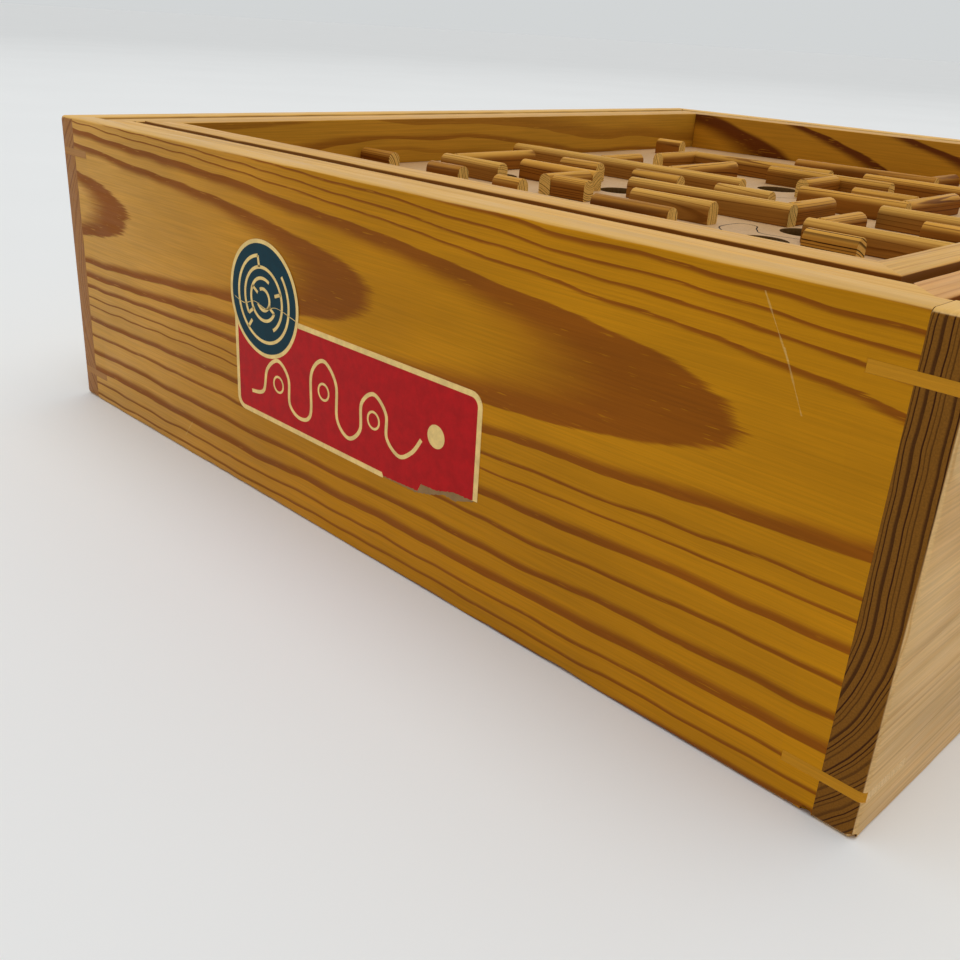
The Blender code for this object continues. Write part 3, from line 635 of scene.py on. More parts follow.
def lump(centre, size, seed):
    """A small irregular body for cutting a chip out of an edge."""
    bm = bmesh.new()
    bmesh.ops.create_icosphere(bm, subdivisions=3, radius=1.0)
    for vertex in bm.verts:
        vertex.co *= 1.0 + 0.45 * noise.noise(vertex.co * 1.6 + Vector((seed, 0, 0)))
    bm.transform(Matrix.Translation(centre) @ Matrix.Diagonal((*size, 1.0)))
    return bm


def carve(obj, *cutters):
    """Cuts each cutter out of the piece."""
    for bm in cutters:
        cutter = scene_object("cutter", mesh_of("cutter", bm))
        step = obj.modifiers.new("carve", "BOOLEAN")
        step.operation = "DIFFERENCE"
        step.object = cutter
        bpy.context.view_layer.update()
        evaluated = obj.evaluated_get(bpy.context.evaluated_depsgraph_get())
        carved = bpy.data.meshes.new_from_object(evaluated)
        obj.modifiers.clear()
        spent = (obj.data, cutter.data)
        obj.data = carved
        bpy.data.objects.remove(cutter, do_unlink=True)
        for mesh in spent:
            bpy.data.meshes.remove(mesh)


def bore(obj, side, start, end, z, radius, sides=24):
    """Drills the piece on one side, straight out from the middle, between two distances."""
    x, y = SIDES[side]
    carve(obj, cylinder((x * start, y * start, z), (x * end, y * end, z), radius, sides))


# ---------- case
FEATHER_T, FEATHER_LEG, FEATHER_CUT = 2.1, 15.5, 0.9
FEATHER_Z = (9.15, 80.65)
KERF_T, KERF_LEG, KERF_OUT = FEATHER_T + 0.05, FEATHER_LEG + 0.085, 0.75


def corner_plate(outline, thickness, x_side, y_side, z):
    """A flat plate at height z in one of the case's corners, its outline given for the first."""
    half = thickness / 2
    return prism(outline, lambda x, y, h: (x_side * x, y_side * y, z + h), -half, half)


def feather(*corner):
    """One slip feather: a thin triangle let into a corner, its tip cut off."""
    x, y = HALF_X, HALF_Y
    outline = [(x - FEATHER_CUT, y), (x - FEATHER_LEG, y), (x, y - FEATHER_LEG), (x, y - FEATHER_CUT)]
    return corner_plate(outline, FEATHER_T, *corner)


def kerf(*corner):
    """The saw cut that a feather is glued into; it stands out of the walls."""
    x, y, leg = HALF_X + KERF_OUT, HALF_Y + KERF_OUT, KERF_LEG + 2 * KERF_OUT
    return corner_plate([(x, y), (x - leg, y), (x, y - leg)], KERF_T, *corner)


def build_walls():
    """The long walls run past the short ones, with worn ends."""
    long, short = 2 * HALF_X, 2 * (IN_Y - JOINT)
    long_ends = {"end_wear": 1.1, "sharp_ends": WALL}
    label_heart = (-(HALF_Y - IN_Y + JOINT), 0, 0)
    walls = {
        "left": (short, {}, "label_pine", (-HALF_X, IN_Y - JOINT, 0), (0, -1, 0), label_heart),
        "right": (short, {}, "case_pine", (HALF_X, JOINT - IN_Y, 0), (0, 1, 0), (40, -52, 30)),
        "front": (long, long_ends, "case_pine", (-HALF_X, -HALF_Y, 0), (1, 0, 0), (-60, 52, 42)),
        "back": (long, long_ends, "back_pine", (HALF_X, HALF_Y, 0), (-1, 0, 0), (30, 55, 40)),
    }
    made = {}
    for seed, (side, (length, ends, wood, *place)) in enumerate(walls.items(), 1):
        bm = bar(length, WALL, CASE_H, WEAR, seed, **ends)
        made[side] = stand(f"{side}_wall_board", bm, wood, *place, "case", "case_pine", [f"{side}_wall"])
    return made


def build_feathers(walls):
    for side, obj in walls.items():
        out_x, out_y = SIDES[side]
        for other in (1, -1) if out_x else (-1, 1):
            for z in FEATHER_Z:
                carve(obj, kerf(out_x or other, out_y or other, z))
    for x_side, x_name in ((-1, "left"), (1, "right")):
        for y_side, y_name in ((-1, "front"), (1, "back")):
            wood = "feather_dark" if y_side > 0 else "feather_pine"
            for z, level in zip(FEATHER_Z, ("low", "high")):
                obj = add_piece(f"feather_{y_name}_{x_name}_{level}", feather(x_side, y_side, z),
                                wood, "case")
                set_origin(obj, (x_side * 120, y_side * 100, z + 14), (0, -1, 0))


def outlet():
    """The arched way out for the ball."""
    middle, half, sill, height = 135.0, 11.0, 10.0, 18.0
    outline = [(middle - half, sill), (middle + half, sill)]
    outline += arc(middle, sill + height - half, half, 0, 180, 24)
    return prism(outline, lambda x, z, y: (x, y, z), -HALF_Y - 1, -IN_Y + 1)


def build_case():
    walls = build_walls()
    build_feathers(walls)
    front_z, side_z = middle_of("front_shaft").z, middle_of("side_shaft").z
    bore(walls["front"], "front", HALF_Y + 1, IN_Y - 1, front_z, SHAFT_HOLE, 48)
    bore(walls["right"], "right", IN_X - 1, HALF_X + 1, side_z, SHAFT_HOLE, 48)
    bore(walls["back"], "back", IN_Y - 1, IN_Y + BLIND, front_z, SHAFT_HOLE, 48)
    bore(walls["left"], "left", IN_X - 1, IN_X + BLIND, side_z, SHAFT_HOLE, 48)
    for side in ("left", "right"):
        bore(walls[side], side, IN_X - 1, IN_X + BLIND, PIVOT_Z, PIN_GLUED)

    panel_low, panel_high = span("bottom_panel")
    for wall in walls.values():
        carve(wall, box(panel_low - Vector((0.1, 0.1, 1)), panel_high + Vector((0.1, 0.1, 0.1))))
    carve(walls["front"], outlet())
    carve(walls["left"], lump((-HALF_X, -IN_Y + 1.2, 0.0), (1.6, 1.3, 1.5), 3),
          lump((-HALF_X, -IN_Y + 4.6, 0.0), (0.9, 1.4, 0.8), 9))
    carve(walls["front"], lump((-HALF_X, -HALF_Y, 0.0), (1.5, 1.6, 1.4), 5))


# ---------- frame and tray
CLOSER = 0.35  # how far the end rails of frame and tray each swell into the gap between them


def build_ring(body, outward, woods, seed, loose, glued=(), notch=None):
    """A ring of four mitred rails; its ends stand outward past the CAD, or else swell inwards.

    woods gives each rail's material and heart; loose and glued are the sides with holes for pins.
    """
    front_low, front_high = span(f"{body}_front_rail")
    left_low, left_high = span(f"{body}_left_rail")
    low = Vector((left_low.x - outward, front_low.y, front_low.z))
    high = Vector((-low.x, -low.y, front_high.z))
    size = high - low
    side_t, end_t = front_high.y - front_low.y, left_high.x - left_low.x + CLOSER
    rails = {
        "front": (low.x, low.y, (1, 0, 0), size.x, side_t),
        "back": (high.x, high.y, (-1, 0, 0), size.x, side_t),
        "left": (low.x, high.y, (0, -1, 0), size.y, end_t),
        "right": (high.x, low.y, (0, 1, 0), size.y, end_t),
    }
    for index, (side, (x, y, along, length, deep)) in enumerate(rails.items()):
        wood, heart = woods[side]
        bm = bar(length, deep, size.z, 0.35, seed + index, True, notch=notch)
        rail = stand(f"{body}_{side}_wood", bm, wood, (x, y, low.z), along, heart, body,
                     f"{body}_pine", [f"{body}_{side}_rail"])
        outer = high.x if SIDES[side][0] else high.y
        if side in loose:
            bore(rail, side, outer - BLIND, outer + 1, PIVOT_Z, PIN_LOOSE)
        if side in glued:
            bore(rail, side, outer - deep - 1, outer - deep + BLIND, PIVOT_Z, PIN_GLUED)


def build_frame():
    woods = {
        "front": ("frame_pine_pink", (-50, -40, 10)),
        "back": ("frame_pine", (-30, 36, 6)),
        "left": ("frame_pine", (-60, 52, -30)),
        "right": ("frame_pine", (-20, -45, 20)),
    }
    build_ring("frame", 0.0, woods, 20, ("left", "right"), ("front", "back"))


def build_tray():
    low = span("tray_front_rail")[0]
    notch = (BOARD_LOW.z - low.z - 0.1, BOARD_HIGH.z - low.z + 0.06, 2.1)
    woods = {
        "front": ("tray_pine", (-40, -46, 14)),
        "back": ("tray_pine_mottled", (-80, 60, 40)),
        "left": ("tray_pine", (-70, 48, -34)),
        "right": ("tray_pine_arched", (-2 * low.y, 0, ARCH_Z - low.z)),
    }
    build_ring("tray", CLOSER, woods, 31, ("front", "back"), notch=notch)


# ---------- board and its print
HOLES = [
    [(low + high) / 2 / MM for low, high in zip(*opening["box_m"])][:2]
    for opening in frame["record"]["physics"]["openings"] if opening["name"].startswith("maze_hole")
]
HOLE_R = 7.0


def circle_spline(curve, x, y, radius):
    """A closed round spline of four Bezier points."""
    spline = curve.splines.new("BEZIER")
    spline.bezier_points.add(3)
    spline.use_cyclic_u = True
    handle = radius * 0.5523  # the length that makes a quarter of a Bezier circle round
    for point, (cx, cy) in zip(spline.bezier_points, ((1, 0), (0, 1), (-1, 0), (0, -1))):
        centre = Vector((x + cx * radius, y + cy * radius, 0)) * MM
        turn = Vector((-cy, cx, 0)) * handle * MM
        point.co = centre
        point.handle_left = centre - turn
        point.handle_right = centre + turn


def build_board():
    """The board: one flat filled curve with round holes and softened edges."""
    curve = bpy.data.curves.new("maze_board", "CURVE")
    curve.dimensions = "2D"
    curve.fill_mode = "BOTH"
    curve.resolution_u = 12
    x, y = BOARD_HIGH.x * MM, BOARD_HIGH.y * MM
    outline = curve.splines.new("POLY")
    outline.points.add(3)
    outline.use_cyclic_u = True
    for point, corner in zip(outline.points, ((-x, -y), (x, -y), (x, y), (-x, y))):
        point.co = (*corner, 0, 1)
    chamfer = 0.25
    for hole_x, hole_y in HOLES:
        circle_spline(curve, hole_x, hole_y, HOLE_R + chamfer)
    curve.bevel_depth = chamfer * MM
    curve.bevel_resolution = 1
    curve.offset = -chamfer * MM
    curve.extrude = ((BOARD_HIGH.z - BOARD_LOW.z) / 2 - chamfer) * MM

    helper = scene_object("maze_board_curve", curve)
    bpy.context.view_layer.update()
    evaluated = helper.evaluated_get(bpy.context.evaluated_depsgraph_get())
    mesh = bpy.data.meshes.new_from_object(evaluated)
    bpy.data.objects.remove(helper, do_unlink=True)
    bm = bmesh.new()
    bm.from_mesh(mesh)
    bpy.data.meshes.remove(mesh)
    bmesh.ops.remove_doubles(bm, verts=bm.verts, dist=1e-7)
    bmesh.ops.scale(bm, vec=(1 / MM, 1 / MM, 1 / MM), verts=bm.verts)
    bmesh.ops.translate(bm, vec=(0, 0, (BOARD_LOW.z + BOARD_HIGH.z) / 2), verts=bm.verts)
    add_piece("maze_board_sheet", bm, "maze_board", "tray", ["maze_board"])


def smooth_line(points, widths, steps):
    """Points and widths along a smooth curve through the points given."""
    line = []
    for i in range(len(points) - 1):
        around = [points[max(0, i - 1)], points[i], points[i + 1], points[min(len(points) - 1, i + 2)]]
        for step in range(steps):
            t = step / steps
            place = [
                0.5 * (2 * b + (c - a) * t + (2 * a - 5 * b + 4 * c - d) * t ** 2
                       + (3 * b - a - 3 * c + d) * t ** 3)
                for a, b, c, d in zip(*around)
            ]
            line.append((Vector(place), widths[i] + (widths[i + 1] - widths[i]) * t))
    return line + [(Vector(points[-1]), widths[-1])]


def ribbon(points, width, thickness, place, steps=8):
    """A flat band through points on a smooth curve; width is a number or one for each point.

    place(u, v, h) turns flat coordinates and a height into a place in the row frame.
    """
    widths = width if isinstance(width, list) else [width] * len(points)
    line = smooth_line(points, widths, steps)
    bm = bmesh.new()
    rows = []
    for i, (point, wide) in enumerate(line):
        before, after = line[max(0, i - 1)][0], line[min(len(line) - 1, i + 1)][0]
        along = (after - before).normalized()
        turn = (after - point).normalized().dot(along) if after != point else 1.0
        aside = Vector((-along.y, along.x)) * wide / 2 / max(turn, 0.5)
        left, right = point + aside, point - aside
        corners = ((left, 0), (right, 0), (right, thickness), (left, thickness))
        rows.append([bm.verts.new(place(edge.x, edge.y, h)) for edge, h in corners])
    skin(bm, rows)
    return bm


PATH = [
    (112, 100), (104, 76), (84, 70), (76, 44), (100, 38), (122, 24), (124, -10), (106, -16), (100, 10),
    (84, 24), (74, 34), (56, 42), (36, 48), (22, 44), (18, 20), (20, -2), (38, -18), (40, -36),
    (24, -38), (10, -8), (-2, -8), (-8, -28), (-22, -28), (-24, -44), (-12, -60), (-30, -66),
    (-44, -58), (-50, -42), (-46, -36.5), (-41, -33.5), (-40, -30), (-42.5, -27.5), (-52, -28), (-60, -34),
    (-68, -30), (-62, -8), (-44, 8), (-42, 26), (-64, 26), (-66, 52), (-58, 78), (-40, 98), (-24, 98),
    (-6, 78), (-24, 60), (-22, 46),
]


def build_print():
    """The printed way through the maze: a thin dark line on the board."""
    bm = ribbon(PATH, 0.4, 0.012, lambda x, y, h: (x, y, BOARD_HIGH.z + 0.004 + h))
    obj = add_piece("printed_path", bm, "ink", "tray")
    set_origin(obj, (0, 0, BOARD_HIGH.z), (1, 0, 0))


# ---------- maze
MAZE = {
    "spine": [(5, 106, 5, 1), (5, 64, 30, 64), (5, 33, 49, 33)],
    "back_corner": [(40, 62, 66.5, 62), (64, 62, 64, 0)],
    "right_of_centre": [(53, 19, 53, -29), (28, -8.5, 53, -8.5)],
    "centre_corner": [(-31.5, 20, -31.5, -39), (-31.5, -36.5, -5.5, -36.5)],
    "centre_upper": [(-12.5, 33, -12.5, 14)],
    "centre_lower": [(-14, -1.5, -14, -21.5)],
    "left_of_centre": [(-51.5, 3.5, -51.5, -25)],
    "left_round": [(-73, 1, -73, -26)],
    "upper_short": [(-12.5, 66, -12.5, 48.5)],
    "zigzag": [(-32.5, 67, -32.5, 33.5), (-56, 36, -32.5, 36), (-53.5, 36, -53.5, 19.5)],
    "back_left_corner": [(-50, 89, -50, 60.5), (-50, 86.5, -8, 86.5)],
    "back_stub": [(-68, 112, -68, 96)],
    "left_upper": [(-70, 74.5, -70, 59)],
    "left_middle": [(-72.5, 41, -72.5, 30)],
    "back_right_stub": [(95, 102, 95, 89)],
    "right_corner": [(89, 28, 89, -29.5), (89, -27, 111, -27)],
    "right_straight": [(70.5, -10.5, 70.5, -62)],
    "front_fork": [(10, -18, 10, -54.5), (10, -52, 50, -52), (27, -28, 27, -52)],
    "front_pocket": [(-5, -53, -5, -90.5), (-22, -88, -5, -88), (-22, -73.5, -22, -90.5)],
    "front_left_corner": [(-50, -53.5, -50, -112), (-50, -56, -25, -56)],
    "front_stub": [(-65.5, -62, -65.5, -77)],
    "far_left_back": [(-112, 88, -112, 45), (-112, 66, -97, 66)],
    "far_left_middle": [(-95, 20, -95, -20), (-119, 0, -95, 0)],
    "far_left_front": [(-116, -40, -96, -40), (-98.5, -40, -98.5, -92)],
    "front_middle": [(30, -71.5, 30, -112), (30, -74, 52, -74)],
    "front_right": [(92, -52, 92, -92.5), (92, -90, 118, -90)],
}
STRIP_W, STRIP_H = 5.0, 6.5
STRIP_WOODS = {
    "front_stub": "strip_lined",
    "left_round": "strip_dark",
    "left_of_centre": "strip_light",
    "left_upper": "strip_dark",
    "back_stub": "strip_dark",
    "right_corner": "strip_dark",
}


def strip(length, seed):
    """A maze strip along X with a half-round top, hand-cut ends and slightly uneven faces."""
    half, foot, edge = STRIP_W / 2, 0.25, 0.28
    spring, middle = STRIP_H - half, STRIP_H / 2
    outline = [(-half + foot, 0), (half - foot, 0), (half, foot)]
    outline += arc(0, spring, half, 0, 180, 10) + [(-half, foot)]
    draw = random.Random(seed)
    slant = (draw.uniform(-0.12, 0.12), draw.uniform(-0.12, 0.12))
    count = max(2, round(length / 4.0))
    stations = [(0.0, 0.955), (edge * 0.4, 0.985)]
    stations += [(edge + (length - 2 * edge) * i / count, 1.0) for i in range(count + 1)]
    stations += [(length - edge * 0.4, 0.985), (length, 0.955)]
    bm = bmesh.new()
    rings = []
    for x, scale in stations:
        at_end = x < edge or x > length - edge
        lean = slant[0] * (1 - x / length) + slant[1] * x / length if at_end else 0.0
        ring = []
        for y, z in outline:
            rough = 0.05 * noise.noise(Vector((x / 5.0, y * 0.8 + seed, z * 0.8)))
            along = min(max(x + lean * y / half, 0.0), length)
            rise = middle + (z - middle) * scale if z > foot else max(z, 0.0)
            if z > spring:
                rise += rough
            ring.append(bm.verts.new((along, y * scale * (1 + rough / half), rise)))
        rings.append(ring)
    skin(bm, rings)
    return bm


def trimmed(index, strips):
    """A strip's ends, pulled back to the face of an earlier strip that it is glued to."""
    x0, y0, x1, y1 = strips[index]
    axis = 0 if y0 == y1 else 1
    half, spare = STRIP_W / 2, 0.01
    ends = [Vector((x0, y0)), Vector((x1, y1))]
    inward = (ends[1] - ends[0]).normalized()[axis]
    for end, way in zip(ends, (inward, -inward)):
        for other in strips[:index]:
            crosses = other[axis] == other[axis + 2]
            near = abs(end[axis] - other[axis]) <= half + spare
            low, high = sorted((other[1 - axis], other[3 - axis]))
            if crosses and near and low - spare <= end[1 - axis] <= high + spare:
                end[axis] = other[axis] + way * (half + 0.03)
    return ends


def build_maze():
    base = BOARD_HIGH.z + 0.02
    seed = 100
    for name, strips in MAZE.items():
        node = f"strip_{name}"
        for index in range(len(strips)):
            start, end = trimmed(index, strips)
            along = (end - start).to_3d().normalized()
            length = (end - start).length
            seed += 1
            draw = random.Random(seed)
            angle = draw.uniform(0, 2 * pi)
            depth = draw.uniform(4, 22)
            heart = (draw.uniform(-90, 90), depth * cos(angle), depth * sin(angle))
            wood = STRIP_WOODS.get(name, draw.choice(("strip_beech", "strip_light", "strip_beech")))
            stand(f"{node}_{index + 1}", strip(length, seed), wood, (start.x, start.y, base), along,
                  heart, "tray", "strip_beech", [node] if index == 0 else [])


# ---------- label
LEFT, RIGHT, FOOT, TOP = -45.7, 48.6, 23.6, 53.6  # the red field's card, in u and v
CORNER, BORDER = 3.4, 1.35
CARD_H, FIELD_H, SEAL_CARD_H, SEAL_H, LINE_H = 0.13, 0.15, 0.2, 0.215, 0.015
SEAL_U, SEAL_V, SEAL_R, SEAL_BORDER = -31.9, 56.3, 15.3, 1.05
SEAL_LINE, TRACK_LINE, HOLE_LINE, HOLE_RING = 0.85, 1.0, 0.6, 2.1
TEAR = [(16.9, 24.15), (29.3, 24.7), (30.4, 26.8), (35.5, 27.0), (41.2, 28.6), (46.4, 28.8)]
TORN_UNDER = [(16.5, 23.9), (28.6, 24.1), (33.6, 25.3), (38.2, 26.9), (41.5, 26.6), (47.4, 28.6)]
TRACK = [
    (-38.5, 30), (-33, 31.5), (-31, 38), (-26, 41.5), (-21.5, 38), (-21, 31), (-16.5, 28.5), (-12, 31),
    (-11.5, 42), (-6.5, 46.5), (-1.5, 42), (-1, 33), (3.5, 29.5), (8, 33), (8.5, 40), (13, 43.5),
    (17.5, 40), (18, 34), (22.5, 31), (27, 33.5), (30, 37.5),
]
TRACK_HOLES = [(-26, 35), (-6.5, 38.5), (13, 37)]
TRACK_BALL = (34.8, 39.8, 2.8)
SEAL_WALLS = [(11.2, 100, 402), (8.3, -60, 215), (5.5, 60, 330), (2.8, -150, 120)]
SEAL_BARS = [
    (11.2, 8.3, 100), (11.2, 8.3, -130), (8.3, 5.5, 215), (8.3, 5.5, 20), (5.5, 2.8, -30), (5.5, 2.8, 150),
]
CREASE = [(-13.6, -1.6), (-9, -2.6), (-4, -1.2), (1, -2.2), (6, -1.0), (13.9, -2.4)]
CREASE_WIDTHS = [0.08, 0.2, 0.1, 0.28, 0.12, 0.22]


def on_left_wall(u, v, h):
    """u runs along the wall towards the front, v up, and h outwards from the wall's face."""
    return (-HALF_X - 0.01 - h, -u, v)


def on_seal(u, v, h):
    return on_left_wall(SEAL_U + u, SEAL_V + v, SEAL_H + h)


def on_field(u, v, h):
    return on_left_wall(u, v, FIELD_H + h)


def plate(name, outline, low, high, material):
    """A flat layer of the label, with the outline given as (u, v) points."""
    add_piece(name, prism(outline, on_left_wall, low, high), material, "case")


def label_line(name, points, width, place, steps=6, nodes=()):
    bm = ribbon(points, width, LINE_H, place, steps)
    add_piece(name, bm, "cream", "case", nodes)


def ragged(points, seed, size=0.35, step=0.5):
    """The same line with a torn edge."""
    torn = []
    for index, ((u0, v0), (u1, v1)) in enumerate(zip(points, points[1:])):
        count = max(1, round(hypot(u1 - u0, v1 - v0) / step))
        for i in range(count):
            t = i / count
            shift = size * noise.noise(Vector((index * 3.7 + t * count * 0.8, seed, 0)))
            torn.append((u0 + (u1 - u0) * t + shift * 0.5, v0 + (v1 - v0) * t + shift))
    return torn + [points[-1]]


def cut_disc(radius):
    """The seal's round outline, cut out by hand."""
    points = []
    for x, y in arc(0, 0, 1.0, 0, 360, 96)[:-1]:
        r = radius * (1 + 0.008 * noise.noise(Vector((x * 2, y * 2, 5))))
        points.append((SEAL_U + r * x, SEAL_V + r * y))
    return points


def torn_card(border):
    """The card's outline, or the field's where border is its distance from the card's edge."""
    outline = [(RIGHT - border, FOOT + 5.3)]
    corners = [(RIGHT, TOP, -1, -1, 0), (LEFT, TOP, 1, -1, 90), (LEFT, FOOT, 1, 1, 180)]
    for u, v, in_u, in_v, start in corners:
        outline += arc(u + in_u * CORNER, v + in_v * CORNER, CORNER - border, start, start + 90, 6)
    spare = 0.4 if border else 0.2
    return outline + [(TEAR[0][0] - spare, FOOT + border)] + ragged(TEAR, 2)


def build_label():
    plate("label_card", torn_card(0.0), 0.0, CARD_H, "cream")
    plate("label_field", torn_card(BORDER), CARD_H, FIELD_H, "red")
    under = ragged(TORN_UNDER, 7) + [(46.0, FOOT + 7.5), (20.0, FOOT + 5.0)]
    plate("label_torn_paper", under, 0.0, 0.09, "torn")
    plate("seal_card", cut_disc(SEAL_R), CARD_H, SEAL_CARD_H, "cream")
    plate("seal_field", cut_disc(SEAL_R - SEAL_BORDER), SEAL_CARD_H, SEAL_H, "teal")

    for index, (radius, start, end) in enumerate(SEAL_WALLS):
        points = arc(0, 0, radius, start, end, max(8, round(abs(end - start) / 6)))
        label_line(f"seal_ring_{index + 1}", points, SEAL_LINE, on_seal, 1)
    for index, (outer, inner, angle) in enumerate(SEAL_BARS):
        c, s = cos(radians(angle)), sin(radians(angle))
        points = [(outer * c, outer * s), (inner * c, inner * s)]
        label_line(f"seal_bar_{index + 1}", points, SEAL_LINE, on_seal, 2)
    label_line("seal_crease", CREASE, CREASE_WIDTHS, on_seal)

    label_line("label_track", TRACK, TRACK_LINE, on_field, 8, ["side_label"])
    for index, (u, v) in enumerate(TRACK_HOLES):
        ring = arc(u, v, HOLE_RING, 0, 360, 32)
        label_line(f"label_hole_{index + 1}", ring, HOLE_LINE, on_field, 1)
    ball = arc(*TRACK_BALL, 0, 360, 32)[:-1]
    plate("label_ball", ball, FIELD_H, FIELD_H + LINE_H, "cream")


# ---------- floor parts, cup and ball
def build_floor_parts():
    low, high = span("bottom_panel")
    bm = bar(*(high - low), 0.3, 60, step=20)
    stand("bottom_sheet", bm, "hardboard", low, (1, 0, 0), (0, 0, 0), "case", "hardboard",
          ["bottom_panel"])
    ramp = frame["nodes"]["ball_ramp"].data.materials
    ramp.clear()
    ramp.append(MATERIALS["hardboard"])


def build_cup():
    low, high = span("ball_cup")
    bm = bar(*(high - low), 1.3, 70, step=3)
    cup = stand("ball_cup_wood", bm, "knob_wood", low, (1, 0, 0), (-30, 26, -9), "case", "case_pine",
                ["ball_cup"])
    wall, floor = 4.0, low.z + 3.5
    hollow = box((low.x + wall, low.y + wall, floor), (high.x - wall, high.y + 1, high.z + 1))
    inner = []
    for edge in hollow.edges:
        heights = [vertex.co.z for vertex in edge.verts]
        if max(heights) - min(heights) > 5 or max(heights) < floor + 0.1:
            inner.append(edge)
    bmesh.ops.bevel(hollow, geom=inner, offset=1.6, segments=5, affect="EDGES", profile=0.5)
    carve(cup, hollow)


def build_ball():
    low, high = span("steel_ball")
    bm = bmesh.new()
    bmesh.ops.create_uvsphere(bm, u_segments=64, v_segments=32, radius=(high.x - low.x) / 2)
    bmesh.ops.translate(bm, vec=(low + high) / 2, verts=bm.verts)
    obj = add_piece("steel_ball_polished", bm, "steel", "ball", ["steel_ball"])
    set_origin(obj, (low + high) / 2, (1, 0, 0))


# ---------- knobs, shafts, pins
def turned(profile, base, direction, sides=64):
    """A solid turned from (radius, distance) points along a line; it starts and ends on its axis."""
    bm = bmesh.new()
    rings = []
    for radius, height in profile:
        rim = arc(0, 0, radius, 0, 360, sides)[:-1] if radius else [(0, 0)]
        rings.append([bm.verts.new((x, y, height)) for x, y in rim])
    for a, b in zip(rings, rings[1:]):
        for i in range(sides):
            j = (i + 1) % sides
            corners = [a[i % len(a)], a[j % len(a)], b[j % len(b)], b[i % len(b)]]
            bm.faces.new(list(dict.fromkeys(corners)))
    turn = direction.to_track_quat("Z", "X").to_matrix().to_4x4()
    bm.transform(Matrix.Translation(base) @ turn)
    return bm


def knob_profile():
    """A turned knob: a neck, a bead, a wide rim with two scratch lines, and a dished face."""
    radius, length, round_r, bore_r, bore_depth = 17.0, 22.0, 4.0, 3.05, 15.0
    neck, scratch = 11.8, 0.25
    profile = [(0, bore_depth), (bore_r, bore_depth), (bore_r, 0), (10.6, 0), (11.0, 0.4), (11.0, 3.0)]
    profile += [(neck + 3.6 * x, 8.2 + 4.4 * y) for x, y in arc(0, 0, 1.0, -90, 0, 6)]
    profile += [(16.4, 8.6), (radius, 9.2)]
    for z in (11.85, 13.85):
        profile += [(radius, z - scratch), (radius - scratch, z), (radius, z + scratch)]
    profile += arc(radius - round_r, length - round_r, round_r, 0, 90, 10)
    return profile + [(9.0, length - 0.5), (6.0, length - 1.2), (3.0, length - 1.65), (0, length - 1.8)]


def ends_of(node):
    """The middles of a long node's two ends."""
    low, high = span(node)
    size = high - low
    half = Vector((size.x, 0, 0)) / 2 if size.x > size.y else Vector((0, size.y, 0)) / 2
    return middle_of(node) - half, middle_of(node) + half


def build_rod(node, radius, chamfer, sides, body, origin_at):
    """A steel rod with chamfered ends; its origin is at a share of its length."""
    start, end = ends_of(node)
    length = (end - start).length
    profile = [(0, 0), (radius - chamfer, 0), (radius, chamfer), (radius, length - chamfer),
               (radius - chamfer, length), (0, length)]
    bm = turned(profile, start, end - start, sides)
    obj = add_piece(f"{node}_rod", bm, "steel", body, [node])
    set_origin(obj, start.lerp(end, origin_at), (end - start).normalized())


def build_drives():
    for name, direction in (("side", Vector((1, 0, 0))), ("front", Vector((0, -1, 0)))):
        low, high = span(f"{name}_knob")
        z = middle_of(f"{name}_shaft").z
        back = Vector((low.x, 0, z)) if direction.x else Vector((0, high.y, z))
        knob = add_piece(f"{name}_knob_turned", turned(knob_profile(), back, direction), "knob_wood",
                         f"{name}_drive", [f"{name}_knob"])
        aside = Vector((0, 0, 1)).cross(direction)
        set_origin(knob, back - aside * 14 - Vector((0, 0, 22)), direction)
        build_rod(f"{name}_shaft", 3.0, 0.4, 48, f"{name}_drive", 0.0)
    pins = {"frame_pivot_pin_left": "case", "frame_pivot_pin_right": "case",
            "tray_pivot_pin_front": "frame", "tray_pivot_pin_back": "frame"}
    for name, body in pins.items():
        build_rod(name, 1.5, 0.2, 32, body, 0.5)


# ---------- cords, springs and eyes
CORD_R, RUN_STEPS, SPRING_WIRE = 0.5, 24, 0.3
WINDING_R, WINDING_TURNS, WINDING_PITCH, WINDING_STEPS = 3.55, 3, 1.3, 20
SPRING_R, SPRING_TURNS, SPRING_STEPS = 1.9, 9, 24
EYE_R, EYE_WIRE = 2.6, 0.6


def tube(points, radius, sides=10):
    """A round wire or cord through points, as a closed mesh."""
    bm = bmesh.new()
    rings = []
    across = None
    for i, point in enumerate(points):
        along = (points[min(len(points) - 1, i + 1)] - points[max(0, i - 1)]).normalized()
        if across is None:
            across = along.orthogonal().normalized()
        across = (across - along * across.dot(along)).normalized()
        other = along.cross(across)
        rim = arc(0, 0, radius, 0, 360, sides)[:-1]
        rings.append([bm.verts.new(point + x * across + y * other) for x, y in rim])
    skin(bm, rings)
    return bm


